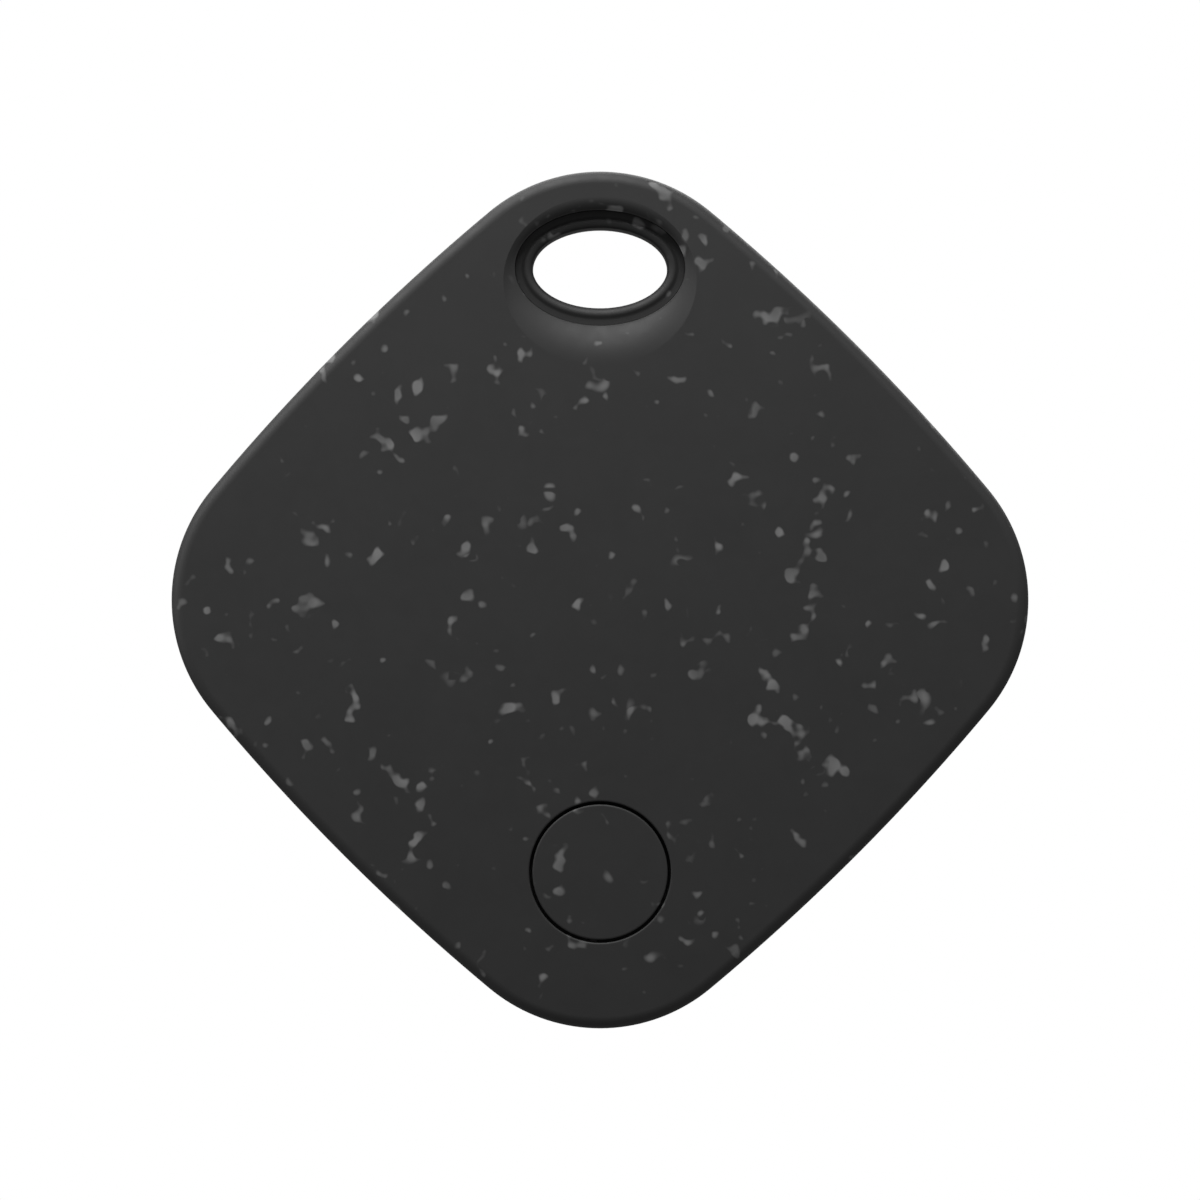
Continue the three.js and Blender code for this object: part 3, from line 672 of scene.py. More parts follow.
def front_shell(plastic):
    ceiling = LEDGE_Z - STAGGER
    recess_top = BULKHEAD_U + RIM_WALL - TONGUE_INSET + FIT
    pocket_radius, pocket_z = BUZZER_POCKET
    seat_radius, seat_z = BUTTON_SEAT
    shell = cut(
        front_skin(),
        block(pocket(RIM_WALL, BULKHEAD_U), ceiling, inner_face_z, spacing=1.2),
        block(pocket(TONGUE_INSET - FIT, recess_top), SEAM_Z - PAST, LEDGE_Z),
        block(circle(0, BUZZER_U, pocket_radius), ceiling - STAGGER, pocket_z),
        block(circle(0, BUTTON_U, seat_radius), ceiling - 2 * STAGGER, seat_z),
    )
    bosses = []
    for i, (x, u) in enumerate(SCREW_PLACES):
        rim, bore = circle(x, u, BOSS_RADIUS, 48), circle(x, u, BOSS_BORE, 48)
        bosses.append(plate(f"boss_{i}", rim, BOARD_FRONT_Z + FIT, BOSS_TOP_Z, [bore]))
    shell = join(shell, *bosses)
    return keep(shell, "front_shell", "housing", plastic)


def rear_skin():
    """The rear shell's outside, with the collar and the door's seat but solid inside."""
    skin = Skin()
    top_z = SEAM_Z - TOUCH
    heel = rounding(BACK_FILLET, BACK_Z, -1, -1, FILLET_STEPS)[::-1]
    lip = rounding(SEAM_ROUND, SEAM_Z - SEAM_GAP, 1, -1)
    step = [(-SEAM_DEPTH, SEAM_Z - SEAM_GAP, 0), (-SEAM_DEPTH, top_z, 0)]
    bottom, top = skin.wall(outline(), heel + lip + step)
    inward = DOOR_BORE - DOOR_RADIUS - DOOR_GAP
    seat = [(inward + g, z, o) for g, z, o in rounding(SEAT_EDGE, DOOR_SEAT_Z, -1, 1)[::-1]]
    rim = rounding(BORE_EDGE, BACK_Z, -1, 1)[::-1]
    bore = rim + [(0, DOOR_SEAT_Z, 0)] + seat + [(inward, top_z, 0)]
    door_bottom, door_top = skin.wall(circle(0, DOOR_U, DOOR_RADIUS + DOOR_GAP), bore)
    collar_bottom, collar_top = skin.wall(oval(*HOLE, HOLE_U), collar_steps(top_z))
    skin.sheet(bottom, [door_bottom, collar_bottom], BACK_Z)
    skin.sheet(top, [door_top, collar_top], top_z)
    return mesh_object("rear_shell_fine", skin)


def collar_steps(foot_z):
    """From the back, up the flared key-ring hole, over the collar's round lip to the shoulder
    outside it and down."""
    flare = [
        (BACK_FLARE * (1 - sin(t)), BACK_Z, 1.2 * BACK_FLARE * (1 - cos(t)))
        for t in np.linspace(0, pi / 2, 7)
    ]
    lip = [
        (g, z, o - COLLAR_DROP)
        for g, z, o in rounding(COLLAR_ROUND, face_z, 1, 1, FILLET_STEPS)
    ]
    dip = [
        (
            COLLAR_ROUND + (SHOULDER_START - COLLAR_ROUND) * share,
            face_z,
            -COLLAR_DROP - SHOULDER_DROP * (1 - cos(pi * share)) / 2,
        )
        for share in np.linspace(0, 1, 7)[1:]
    ]
    end = OPENING_GROWTH - HAIRLINE
    return flare + lip + dip + [(end, face_z, -COLLAR_DROP - SHOULDER_DROP), (end, foot_z, 0)]


def rear_shell(plastic):
    inner = pocket(RIM_WALL, BULKHEAD_U)
    shell = cut(rear_skin(), block(inner, BACK_FLOOR_Z, 0))
    outer = pocket(TONGUE_INSET, BULKHEAD_U + RIM_WALL - TONGUE_INSET)
    tongue = plate("tongue", outer, SEAM_Z - PAST, TONGUE_TOP_Z, [inner], edge=0.08)
    shell = join(shell, tongue)
    notches = [
        block(sector(DOOR_BORE - PAST, NOTCH_RADIUS, turn, NOTCH_HALF), BACK_Z, 0)
        for turn in LUG_ANGLES
    ]
    shell = cut(shell, *notches, *rear_marks())
    past = DOOR_TURN + LUG_HALF + STOP["lead"]
    stops = []
    for turn in LUG_ANGLES:
        rim = sector(STOP["inner"], STOP["outer"], turn + past, STOP["half"])
        stops.append(block(rim, BACK_FLOOR_Z - STOP["root"], STOP["top_z"]))
    shell = join(shell, *stops)
    return keep(shell, "rear_shell", "housing", plastic)


def rear_marks():
    """Two dots sunk beside the door, for its open and its locked place."""
    radius = DOOR_RADIUS + REAR_MARK_GAP
    marks = []
    for turn in (pi / 2, pi / 2 + DOOR_TURN):
        x, u = radius * cos(turn), DOOR_U + radius * sin(turn)
        spot = circle(x, u, MARK_RADIUS, DOT_POINTS)
        marks.append(block(spot, BACK_Z - PAST, BACK_Z + MARK_DEPTH))
    return marks


# ---- battery door ----


def arrow(start, end):
    """A curved arrow about the door's axis, as a loop of fixed size."""
    tip = end + copysign(0.13, end - start)
    turns = np.linspace(start, end, 24)
    barb = ARROW_WIDTH * 1.5
    path = [(ARROW_WIDTH / 2, t) for t in turns]
    path += [(barb, end), (0, tip), (-barb, end)]
    path += [(-ARROW_WIDTH / 2, t) for t in turns[::-1]]
    points = np.array([
        ((ARROW_RADIUS + out) * cos(t), DOOR_U + (ARROW_RADIUS + out) * sin(t))
        for out, t in path
    ])
    return lambda growth=0.0: points


def battery_door(plastic):
    skin = Skin()
    inner = soften([
        (DOOR_RADIUS, SEAL_GROOVE["floor_z"]),
        (DOOR_RADIUS, DOOR_INNER_Z),
        (SEAL_GROOVE["outer"], DOOR_INNER_Z),
        (SEAL_GROOVE["outer"], SEAL_GROOVE["floor_z"]),
        (SEAL_GROOVE["inner"], SEAL_GROOVE["floor_z"]),
        (SEAL_GROOVE["inner"], DOOR_INNER_Z),
        (SKIRT["outer"], DOOR_INNER_Z),
        (SKIRT["outer"], SKIRT["top_z"]),
        (SKIRT["inner"], SKIRT["top_z"]),
        (SKIRT["inner"], DOOR_INNER_Z),
        (6.5, DOOR_INNER_Z),
    ], 0.06, steps=3)
    steps = rounding(DOOR_EDGE, BACK_Z, -1, -1, 5)[::-1]
    steps += [(r - DOOR_RADIUS, z, 0) for r, z in inner]
    back, front = skin.wall(circle(0, DOOR_U, DOOR_RADIUS), steps)
    slot = stadium(0, DOOR_U, COIN_SLOT["reach"], COIN_SLOT["radius"])
    floor_z = BACK_Z + COIN_SLOT["depth"]
    slot_steps = rounding(0.12, BACK_Z, -1, 1)[::-1] + rounding(0.15, floor_z, 1, -1)
    slot_back, slot_floor = skin.wall(slot, slot_steps)
    skin.sheet(back, [slot_back], BACK_Z)
    skin.sheet(slot_floor, (), floor_z)
    skin.sheet(front, (), DOOR_INNER_Z)
    door = mesh_object("battery_door_fine", skin)
    lugs = []
    for turn in LUG_ANGLES:
        rim = sector(LUG["inner"], LUG["outer"], turn, LUG_HALF)
        lugs.append(block(rim, LUG["low_z"], LUG["high_z"]))
    door = join(door, *lugs)
    door = cut(door, *door_marks())
    return keep(door, "battery_door", "door", plastic)


def door_marks():
    """A curved arrow on each side of the coin slot and a dot at the top, sunk in the door."""
    loops = [arrow(radians(start), radians(end)) for start, end in ARROW_SWEEPS]
    loops.append(circle(0, DOOR_U + DOOR_MARK_RADIUS, MARK_RADIUS, DOT_POINTS))
    low, high = BACK_Z - PAST, BACK_Z + MARK_DEPTH
    return [block(loop, low, high) for loop in loops]


# ---- button ----


def button_cap(plastic):
    skin = Skin()
    face = [(-BUTTON_ROUND - 4 * GUARD, face_z, 0), (-BUTTON_ROUND - GUARD, face_z, 0)]
    brow = face + rounding(BUTTON_ROUND, face_z, 1, -1)[::-1]
    flange_top = FLANGE_Z + FLANGE_THICKNESS
    skirt = [(0, flange_top, BUTTON_EDGE), (BUTTON_EDGE, flange_top, 0)]
    reach = FLANGE_RADIUS - BUTTON_RADIUS
    edge = edge_steps(FLANGE_Z, flange_top, BUTTON_EDGE, -1)[::-1]
    flange = [(reach + g, z, o) for g, z, o in edge]
    top, bottom = skin.wall(circle(0, BUTTON_U, BUTTON_RADIUS), brow + skirt + flange)
    skin.sheet(top, (), face_z, spacing=0.45)
    skin.sheet(bottom, (), FLANGE_Z)
    cap = mesh_object("button_cap_fine", skin)
    return keep(cap, "button_cap", "button", plastic)


# ---- seals and soft pieces ----


def shell_gasket(silicone):
    """The seal between the shells, which passes below the key-ring hole."""
    ring = plate(
        "shell_gasket_fine", pocket(1.3, 11.9), TONGUE_TOP_Z + FIT, LEDGE_Z - FIT,
        [pocket(1.95, 11.25)], edge=0.12,
    )
    return keep(ring, "shell_gasket", "housing", silicone)


def button_membrane(silicone):
    """A thin dome over the switch that is pressed flat with the button."""
    foot = BOARD_FRONT_Z + FIT
    crown = levels("button_membrane")[1]
    ceiling = crown - MEMBRANE_WALL
    dome = turned("button_membrane_fine", [
        (0, ceiling), (2.5, ceiling), (3.1, 1.65), (3.1, foot),
        (3.5, foot), (3.5, 1.7), (2.7, crown), (0, crown),
    ], 0, BUTTON_U, edge=0.16)
    keep(dome, "button_membrane", "housing", silicone)
    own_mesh(dome)
    return dome


def door_seal(silicone):
    """The O-ring in the door's groove."""
    low, high = span("door_seal")
    section = (high[2] - low[2]) / 2
    radius, level = high[0] - section, (low[2] + high[2]) / 2
    turns = [2 * pi * i / 20 for i in range(20)]
    profile = [(radius + section * cos(t), level + section * sin(t)) for t in turns]
    ring = turned("door_seal_fine", profile, 0, DOOR_U, edge=0.01, steps=1)
    return keep(ring, "door_seal", "door_ring", silicone)


def flat_disc(node, body, material, edge, hollow=0.0):
    """A disc or a flat ring with rounded edges in place of a turned CAD node."""
    low, high = levels(node)
    x, u, width, _ = plan(node)
    radius = width / 2
    profile = [(hollow, low), (radius, low), (radius, high), (hollow, high)]
    disc = turned(node + "_fine", profile, x, u, edge=edge)
    return keep(disc, node, body, material)


# ---- coin cell ----


def battery_can(steel):
    """The cell's can, with its edge rolled in at the front and a plus sunk in its back."""
    back, rim = levels("battery_can")
    inside_radius = CELL_RADIUS - CELL_WALL
    can = turned("battery_can_fine", [
        (0, back), (8.6, back), (8.7, back + 0.04), (CELL_RADIUS, back + 0.04), (CELL_RADIUS, rim),
        (9.25, rim), (9.25, rim - CELL_WALL), (inside_radius, rim - 0.4),
        (inside_radius, back + CELL_WALL), (0, back + CELL_WALL),
    ], 0, DOOR_U, edge=0.3)
    bars = []
    for width, height in (PLUS_ARM, PLUS_ARM[::-1]):
        rim_loop = rounded_box(0, DOOR_U + PLUS_RISE, width, height, 0.05)
        bars.append(block(rim_loop, back - PAST, back + 0.05))
    cut(can, *bars)
    return keep(can, "battery_can", "cell", steel)


def battery_cap(steel):
    (_, _, low), (radius, _, high) = span("battery_cap")
    cap = turned("battery_cap_fine", [
        (0, high), (radius, high), (radius, low), (radius - CELL_WALL, low),
        (radius - CELL_WALL, high - CELL_WALL), (0, high - CELL_WALL),
    ], 0, DOOR_U, edge=0.3)
    return keep(cap, "battery_cap", "cell", steel)


# ---- chassis, board and screws ----


def screw_holes(radius):
    return [circle(x, u, radius, 32) for x, u in SCREW_PLACES]


def battery_tray(plastic):
    """The plate that backs the board, with a wall around the cell."""
    back, front = levels("battery_tray")
    holes = [circle(0, DOOR_U, TRAY["window"]), *screw_holes(SCREW_CLEARANCE)]
    rim = pocket(TRAY["inset"], BOARD_TOP_U)
    tray = plate("battery_tray_fine", rim, TRAY["floor_z"], front, holes, edge=0.06)
    outer, inner = (circle(0, DOOR_U, radius) for radius in TRAY["wall"])
    join(tray, plate("tray_wall", outer, back, TRAY["floor_z"] + STAGGER, [inner], edge=0.15))
    cut(
        tray,
        block(rounded_box(0, DOOR_U + 10.8, 4, 2.2), -2, 2),
        block(rounded_box(0, -17, 6, 3), -0.2, 1.8),
    )
    return keep(tray, "battery_tray", "housing", plastic)


def main_board(green):
    board = plate(
        "main_board_fine", pocket(2.3, BOARD_TOP_U), BOARD_BACK_Z, BOARD_FRONT_Z,
        screw_holes(SCREW_CLEARANCE), edge=0.03,
    )
    return keep(board, "main_board", "housing", green)


def board_pads(gold):
    """Bare gold on both faces of the board: rings at the screws, test points and chip pads."""
    pads = []
    for face, up in ((BOARD_FRONT_Z, 1), (BOARD_BACK_Z, -1)):
        low, high = sorted((face, face + up * PAD_HEIGHT))
        for i, (x, u) in enumerate(SCREW_PLACES):
            rim, hole = circle(x, u, 1.25, 40), circle(x, u, 0.78, 40)
            pads.append(plate(f"screw_pad_{up}_{i}", rim, low, high, [hole], edge=PAD_EDGE))
        for i in range(5):
            spot = circle(-4 + 2 * i, 8.6, 0.45, 24)
            pads.append(plate(f"test_point_{up}_{i}", spot, low, high, edge=PAD_EDGE))
    for node, count in (("bluetooth_chip", 8), ("buzzer_driver", 3)):
        pads += chip_pads(node, count)
    return gather("board_pads", pads, gold)


def chip_pads(node, count):
    """A row of pads along each side of a chip, which reach out from under it."""
    x, u, width, height = plan(node)
    pitch = width / (count + 0.6)
    low, high = BOARD_FRONT_Z, BOARD_FRONT_Z + PAD_HEIGHT
    pads = []
    for i in range(count):
        along = (i - (count - 1) / 2) * pitch
        for side in (-1, 1):
            flat = rounded_box(x + along, u + side * height / 2, pitch / 2, 0.5, 0.05, 2)
            tall = rounded_box(x + side * width / 2, u + along, 0.5, pitch / 2, 0.05, 2)
            for name, rim in (("pad", flat), ("side_pad", tall)):
                name = f"{node}_{name}_{i}_{side}"
                pads.append(plate(name, rim, low, high, edge=PAD_EDGE, steps=1))
    return pads


def gather(name, drawn, material):
    """Several drawn pieces as one, for trim that stands for no CAD node."""
    work = bmesh.new()
    for piece in drawn:
        work.from_mesh(piece.data)
        bpy.data.objects.remove(piece)
    mesh = bpy.data.meshes.new(name)
    work.to_mesh(mesh)
    work.free()
    whole = placed(name, mesh)
    stand_up(whole)
    whole.data.materials.append(material)
    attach(whole, "housing")
    return whole


def board_screw(number, steel):
    """A flat-headed screw with a cross recess and a cut thread."""
    node = f"board_screw_{number}"
    x, u, _ = middle(node)
    tip_z = levels(node)[1]
    pitch, core, head_z = SCREW["pitch"], SCREW["core"], SCREW["head_z"]
    turns = np.arange(DOT_POINTS) / DOT_POINTS
    lines = [*SCREW_HEAD, (SCREW_HEAD[-1][0], head_z), (core, head_z)]
    for z in np.arange(head_z + 0.05, tip_z - 0.3, pitch / 8):
        phase = (z / pitch - turns) % 1
        crest = np.clip(1.6 - 4 * np.abs(phase - 0.5), 0, 1)
        lines.append((core + (SCREW["crest"] - core) * crest, z))
    lines += [(radius, tip_z + z) for radius, z in SCREW_TIP]
    skin = Skin()
    skin.bands([skin.hoop(x, u, radius, z, DOT_POINTS) for radius, z in lines])
    screw = mesh_object(node + "_fine", skin)
    cut(
        screw,
        block(rounded_box(x, u, 1.2, 0.26, 0.04), -PAST, 0.15),
        block(rounded_box(x, u, 0.26, 1.2, 0.04), -PAST, 0.15),
    )
    return keep(screw, node, "housing", steel)


# ---- parts on the board ----


def chip(node, material, dot):
    """A moulded chip with soft edges and a sunk dot at its first pin."""
    x, u, width, height = plan(node)
    low, high = levels(node)
    body = plate(node + "_fine", rounded_box(x, u, width, height, 0.08), low, high, edge=0.06)
    spot = circle(x - width / 2 + 2.2 * dot, u + height / 2 - 2.2 * dot, dot, 24)
    cut(body, block(spot, high - 0.05, high + PAST))
    return keep(body, node, "housing", material)


def two_ended(node, body_material, end_material):
    """A ceramic part with a metal cap over each end."""
    x, u, width, height = plan(node)
    low, high = levels(node)
    lengthwise = width >= height
    length, breadth = max(width, height), min(width, height)
    cap = length * 0.24

    def brick(name, along, run, shrink):
        spot = (x + along, u) if lengthwise else (x, u + along)
        extent = (run, breadth - shrink) if lengthwise else (breadth - shrink, run)
        rim = rounded_box(*spot, *extent, 0.05, 3)
        return plate(name, rim, low + shrink / 2, high - shrink / 2, edge=0.04)

    ceramic = brick(node + "_fine", 0, length - 2 * cap, 0.04)
    ends = [brick(f"{node}_end_{side}", side * (length - cap) / 2, cap, 0) for side in (-1, 1)]
    keep(ceramic, node, "housing", body_material)
    return gather(node + "_ends", ends, end_material)


def crystal(node, lid_material, base_material):
    """A metal lid on a ceramic base."""
    x, u, width, height = plan(node)
    low, high = levels(node)
    split = low + 0.2
    base = plate(f"{node}_base", rounded_box(x, u, width, height, 0.06), low, split, edge=0.03)
    lid_rim = rounded_box(x, u, width - 0.2, height - 0.2, 0.15)
    lid = plate(node + "_fine", lid_rim, split, high, edge=0.08)
    gather(f"{node}_base_fine", [base], base_material)
    return keep(lid, node, "housing", lid_material)


def switch(chip_plastic, steel):
    """The low key switch: its case, its metal cover and the plunger."""
    low, high = levels("switch_body")
    width, height, _ = size("switch_body")
    case = plate("switch_body_fine", rounded_box(0, BUTTON_U, width, height, 0.25), low, high)
    cut(case, block(circle(0, BUTTON_U, 0.85, 48), SWITCH_WELL_Z, high + PAST))
    keep(case, "switch_body", "housing", chip_plastic)
    low, high = levels("switch_cover")
    rim = rounded_box(0, BUTTON_U, width - 0.3, height - 0.3, 0.3)
    window = circle(0, BUTTON_U, 0.95, 48)
    cover = plate("switch_cover_fine", rim, low, high, [window], edge=0.02)
    keep(cover, "switch_cover", "housing", steel)
    low, high = levels("switch_plunger")
    profile = [(0, low), (0.78, low), (0.78, 1.9), (0.6, high), (0, high)]
    plunger = turned("switch_plunger_fine", profile, 0, BUTTON_U, edge=0.06, count=48)
    return keep(plunger, "switch_plunger", "plunger", chip_plastic)


# ---- contacts and springs ----


def contacts(gold):
    """The two cell contacts and the two springs that feed the sounder."""
    line = [(-5.5, 0.76), (-3, 0.76), (1.2, 0.43), (2.2, 0.43), (3, 0.55)]
    flat = strip("negative_contact_fine", line, METAL, 2.4, DOOR_U)
    keep(flat, "negative_contact", "housing", gold)
    wall = DOOR_U + CELL_RADIUS + 0.18
    line = [(wall + 1, 0.76), (wall + 0.15, 0.76), (wall, 0.6), (wall, -0.9), (wall + 0.25, -1.3)]
    upright = strip("positive_contact_fine", line, METAL, 3.0, 0, bend=0.15, across="x")
    keep(upright, "positive_contact", "housing", gold)
    for node, x in (("buzzer_spring_centre", 0.0), ("buzzer_spring_edge", 6.2)):
        top = levels(node)[1] - 0.02
        foot = [(-1.2, 1.55), (0.7, 1.55), (1.1, 1.8)]
        tip = [(0, top - 0.1), (-0.4, top - 0.08), (-0.8, top - 0.3)]
        finger = strip(node + "_fine", foot + tip, METAL, 0.9, BUZZER_U, bend=0.12, x=x)
        keep(finger, node, "housing", gold)


# ---- materials ----


class Nodes:
    """A material's node tree, with one call to add a node and feed it."""

    def __init__(self, name, **settings):
        self.material = bpy.data.materials.new(name)
        self.material.use_nodes = True
        self.tree = self.material.node_tree
        self.shader = self.tree.nodes["Principled BSDF"]
        for key, value in settings.items():
            self.shader.inputs[key.replace("_", " ")].default_value = value
        self.place = self.add("ShaderNodeTexCoord").outputs["Object"]

    def add(self, kind, links=(), settings=(), **values):
        """A node with its settings, its own numbers by socket name, and links into it."""
        node = self.tree.nodes.new(kind)
        for key, value in dict(settings).items():
            setattr(node, key, value)
        for key, value in values.items():
            node.inputs[key.replace("_", " ")].default_value = value
        for key, source in dict(links).items():
            self.tree.links.new(source, node.inputs[key])
        return node

    def give(self, socket, value):
        """Links a socket to another, or sets its own number or colour."""
        if isinstance(value, bpy.types.NodeSocket):
            self.tree.links.new(value, socket)
        else:
            socket.default_value = value

    def math(self, operation, a, b):
        node = self.tree.nodes.new("ShaderNodeMath")
        node.operation = operation
        for socket, value in zip(node.inputs, (a, b)):
            self.give(socket, value)
        return node.outputs[0]

    def noise(self, spacing, detail=2.0, roughness=0.5, place=None):
        """Noise whose lumps are about a spacing apart, in metres."""
        node = self.add(
            "ShaderNodeTexNoise", {"Vector": place or self.place},
            Scale=1 / spacing, Detail=detail, Roughness=roughness,
        )
        return node.outputs[0]

    def ramp(self, value, low, high, out_low=0.0, out_high=1.0, smooth=True):
        node = self.add("ShaderNodeMapRange", {"Value": value})
        node.interpolation_type = "SMOOTHSTEP" if smooth else "LINEAR"
        limits = {"From Min": low, "From Max": high, "To Min": out_low, "To Max": out_high}
        for key, limit in limits.items():
            self.give(node.inputs[key], limit)
        return node.outputs["Result"]

    def mix(self, factor, a, b):
        node = self.tree.nodes.new("ShaderNodeMix")
        node.data_type = "RGBA"
        for number, value in ((0, factor), (6, a), (7, b)):  # a mix node's colour sockets
            self.give(node.inputs[number], value)
        return node.outputs[2]

    def feed(self, socket, source):
        self.tree.links.new(source, self.shader.inputs[socket])

    def bump(self, height, distance, strength=1.0):
        node = self.add("ShaderNodeBump", {"Height": height}, Strength=strength, Distance=distance)
        self.feed("Normal", node.outputs[0])


def grey(level):
    """An even grey as shaders take it, from its brightness on a screen of 0 to 255."""
    share = level / 255
    linear = share / 12.92 if share <= 0.04045 else ((share + 0.055) / 1.055) ** 2.4
    return (linear, linear, linear, 1.0)


def flecks(n, spacing, bars):
    """How bright a fleck is at each place, from 0 to 1: the peaks of a noise whose lumps are a
    spacing apart, where they clear a bar that a slower noise raises and lowers."""
    lumps = n.noise(spacing, 1.0, 0.45)
    slow = n.noise(3.6 * MM, 2.0, 0.6)
    bar = n.ramp(slow, 0.36, 0.64, *bars, smooth=False)
    return n.ramp(n.math("SUBTRACT", lumps, bar), -0.01, 0.1)


def speckled_plastic():
    """Dark satin plastic with pale flecks of other plastic all through it."""
    n = Nodes("speckled_plastic", Roughness=0.56, IOR=1.42)
    fine = flecks(n, 0.82 * MM, (0.775, 0.58))
    coarse = flecks(n, 1.45 * MM, (0.82, 0.66))
    gaps = n.ramp(n.noise(0.5 * MM, 0.0), 0.38, 0.5)
    light = n.math("MAXIMUM", fine, n.math("MULTIPLY", coarse, gaps))
    glow = n.ramp(n.noise(1.1 * MM, 0.0), 0.3, 0.7, 0.4, 1.0, smooth=False)
    light = n.math("MULTIPLY", light, glow)
    cloud = n.noise(3 * MM, 3)
    ground = n.mix(n.ramp(cloud, 0.35, 0.65), grey(42), grey(43.5))
    n.feed("Base Color", n.mix(light, ground, grey(116)))
    n.feed("Roughness", n.ramp(n.noise(0.5 * MM, 4), 0.3, 0.7, 0.54, 0.6))
    return n.material


def moulded_plastic():
    """Black inner plastic with a fine spark-eroded texture."""
    n = Nodes("inner_plastic", Roughness=0.55, IOR=1.5)
    n.feed("Base Color", n.mix(n.noise(1.2 * MM, 4), grey(26), grey(33)))
    n.feed("Roughness", n.ramp(n.noise(0.3 * MM, 3), 0.3, 0.7, 0.5, 0.65))
    n.bump(n.noise(0.05 * MM, 2), 0.004 * MM, 0.6)
    return n.material


def chip_epoxy():
    n = Nodes("chip_plastic", Roughness=0.5, IOR=1.55)
    n.feed("Base Color", n.mix(n.noise(0.5 * MM, 4), grey(24), grey(34)))
    n.bump(n.noise(0.04 * MM, 3), 0.003 * MM, 0.7)
    return n.material


def silicone_rubber():
    n = Nodes("silicone", Roughness=0.7, IOR=1.41, Sheen_Weight=0.15)
    n.feed("Base Color", n.mix(n.noise(2 * MM, 3), grey(40), grey(48)))
    n.feed("Roughness", n.ramp(n.noise(0.8 * MM, 3), 0.3, 0.7, 0.62, 0.8))
    n.bump(n.noise(0.2 * MM, 2), 0.004 * MM, 0.5)
    return n.material


def foam():
    """Open foam: dark pores between pale walls. The pores' darkness is painted shade inside them,
    and the same mask sinks them as a bump.
    """
    n = Nodes("foam", Roughness=0.95)
    cells = n.add("ShaderNodeTexVoronoi", {"Vector": n.place}, Scale=1 / (0.22 * MM))
    pore_depth_and_shade = n.ramp(cells.outputs["Distance"], 0.1, 0.55)
    # painted shade: the pores are painted near black (grey 20) against pale walls (grey 52), and
    # this mask is also the pores' bump
    n.feed("Base Color", n.mix(pore_depth_and_shade, grey(20), grey(52)))
    n.bump(pore_depth_and_shade, 0.03 * MM, 0.8)
    return n.material


def tracks(n):
    """Where copper tracks run under the lacquer: patches of parallel lines along x or z."""
    x, _, z = n.add("ShaderNodeSeparateXYZ", {"Vector": n.place}).outputs
    patches = n.add(
        "ShaderNodeTexVoronoi", {"Vector": n.place}, {"distance": "CHEBYCHEV"},
        Scale=1 / (3.1 * MM), Randomness=0.8,
    )
    chance = n.add("ShaderNodeSeparateColor", {"Color": patches.outputs["Color"]}).outputs[0]
    pitch = 0.42 * MM
    lines = [
        n.ramp(n.math("PINGPONG", along, pitch / 2), 0.3 * pitch, 0.36 * pitch)
        for along in (x, z)
    ]
    flat = n.math("MULTIPLY", lines[0], n.math("LESS_THAN", chance, 0.36))
    upright = n.math("MULTIPLY", lines[1], n.math("GREATER_THAN", chance, 0.6))
    return n.math("ADD", flat, upright)


def solder_mask():
    """Green lacquer over copper tracks and vias, which show through paler."""
    n = Nodes("circuit_board", Roughness=0.3, IOR=1.5, Coat_Weight=0.3)
    vias = n.add("ShaderNodeTexVoronoi", {"Vector": n.place}, Scale=1 / (1.9 * MM), Randomness=0.7)
    via = n.ramp(vias.outputs["Distance"], 0.06, 0.09, 1.0, 0.0)
    copper = n.math("MAXIMUM", tracks(n), via)
    lacquer = n.mix(n.noise(4 * MM, 2), (0.006, 0.045, 0.022, 1), (0.008, 0.062, 0.03, 1))
    n.feed("Base Color", n.mix(copper, lacquer, (0.016, 0.11, 0.05, 1)))
    n.bump(copper, 0.012 * MM, 0.5)
    return n.material


def brushed_metal(name, color, roughness):
    """Metal with fine scratches in every direction and a little tarnish."""
    n = Nodes(name, Metallic=1.0)
    scratch = n.add("ShaderNodeMapping", {"Vector": n.place}, Scale=(1.0, 1.0, 14.0))
    lines = n.noise(0.35 * MM, 5, 0.7, scratch.outputs[0])
    dark = tuple(c * 0.78 for c in color[:3]) + (1.0,)
    n.feed("Base Color", n.mix(n.ramp(n.noise(2.5 * MM, 4), 0.3, 0.7), color, dark))
    n.feed("Roughness", n.ramp(lines, 0.3, 0.7, roughness - 0.06, roughness + 0.1))
    n.bump(lines, 0.002 * MM, 0.5)
    return n.material


def fired_ceramic(name, light, dark):
    n = Nodes(name, Roughness=0.5, IOR=1.6)
    n.feed("Base Color", n.mix(n.ramp(n.noise(0.25 * MM, 5), 0.35, 0.65), light, dark))
    n.feed("Roughness", n.ramp(n.noise(0.4 * MM, 3), 0.3, 0.7, 0.42, 0.6))
    n.bump(n.noise(0.05 * MM, 3), 0.004 * MM, 0.5)
    return n.material


# ---- floor, light and camera, in the frame's metres ----

ROOM_STRENGTH = 0.2
FLOOR_DROP = 0.065
FLOOR_REACH = 0.6
VIEW_WIDTH = 0.0548
LENS = 500.0
SENSOR = 36.0


def floor():
    """A round pale floor well below the hanging tag."""
    level = CAD_BOUNDS[0].z - FLOOR_DROP
    work = bmesh.new()
    bmesh.ops.create_circle(work, cap_ends=True, segments=96, radius=FLOOR_REACH)
    bmesh.ops.translate(work, verts=work.verts, vec=(0, 0, level))
    mesh = bpy.data.meshes.new("floor")
    work.to_mesh(mesh)
    work.free()
    made = placed("floor", mesh)
    n = Nodes("floor_paint", Roughness=0.9)
    n.feed("Base Color", n.mix(n.noise(0.05, 3), grey(236), grey(240)))
    mesh.materials.append(n.material)
    made.visible_diffuse = False
    made.visible_glossy = False


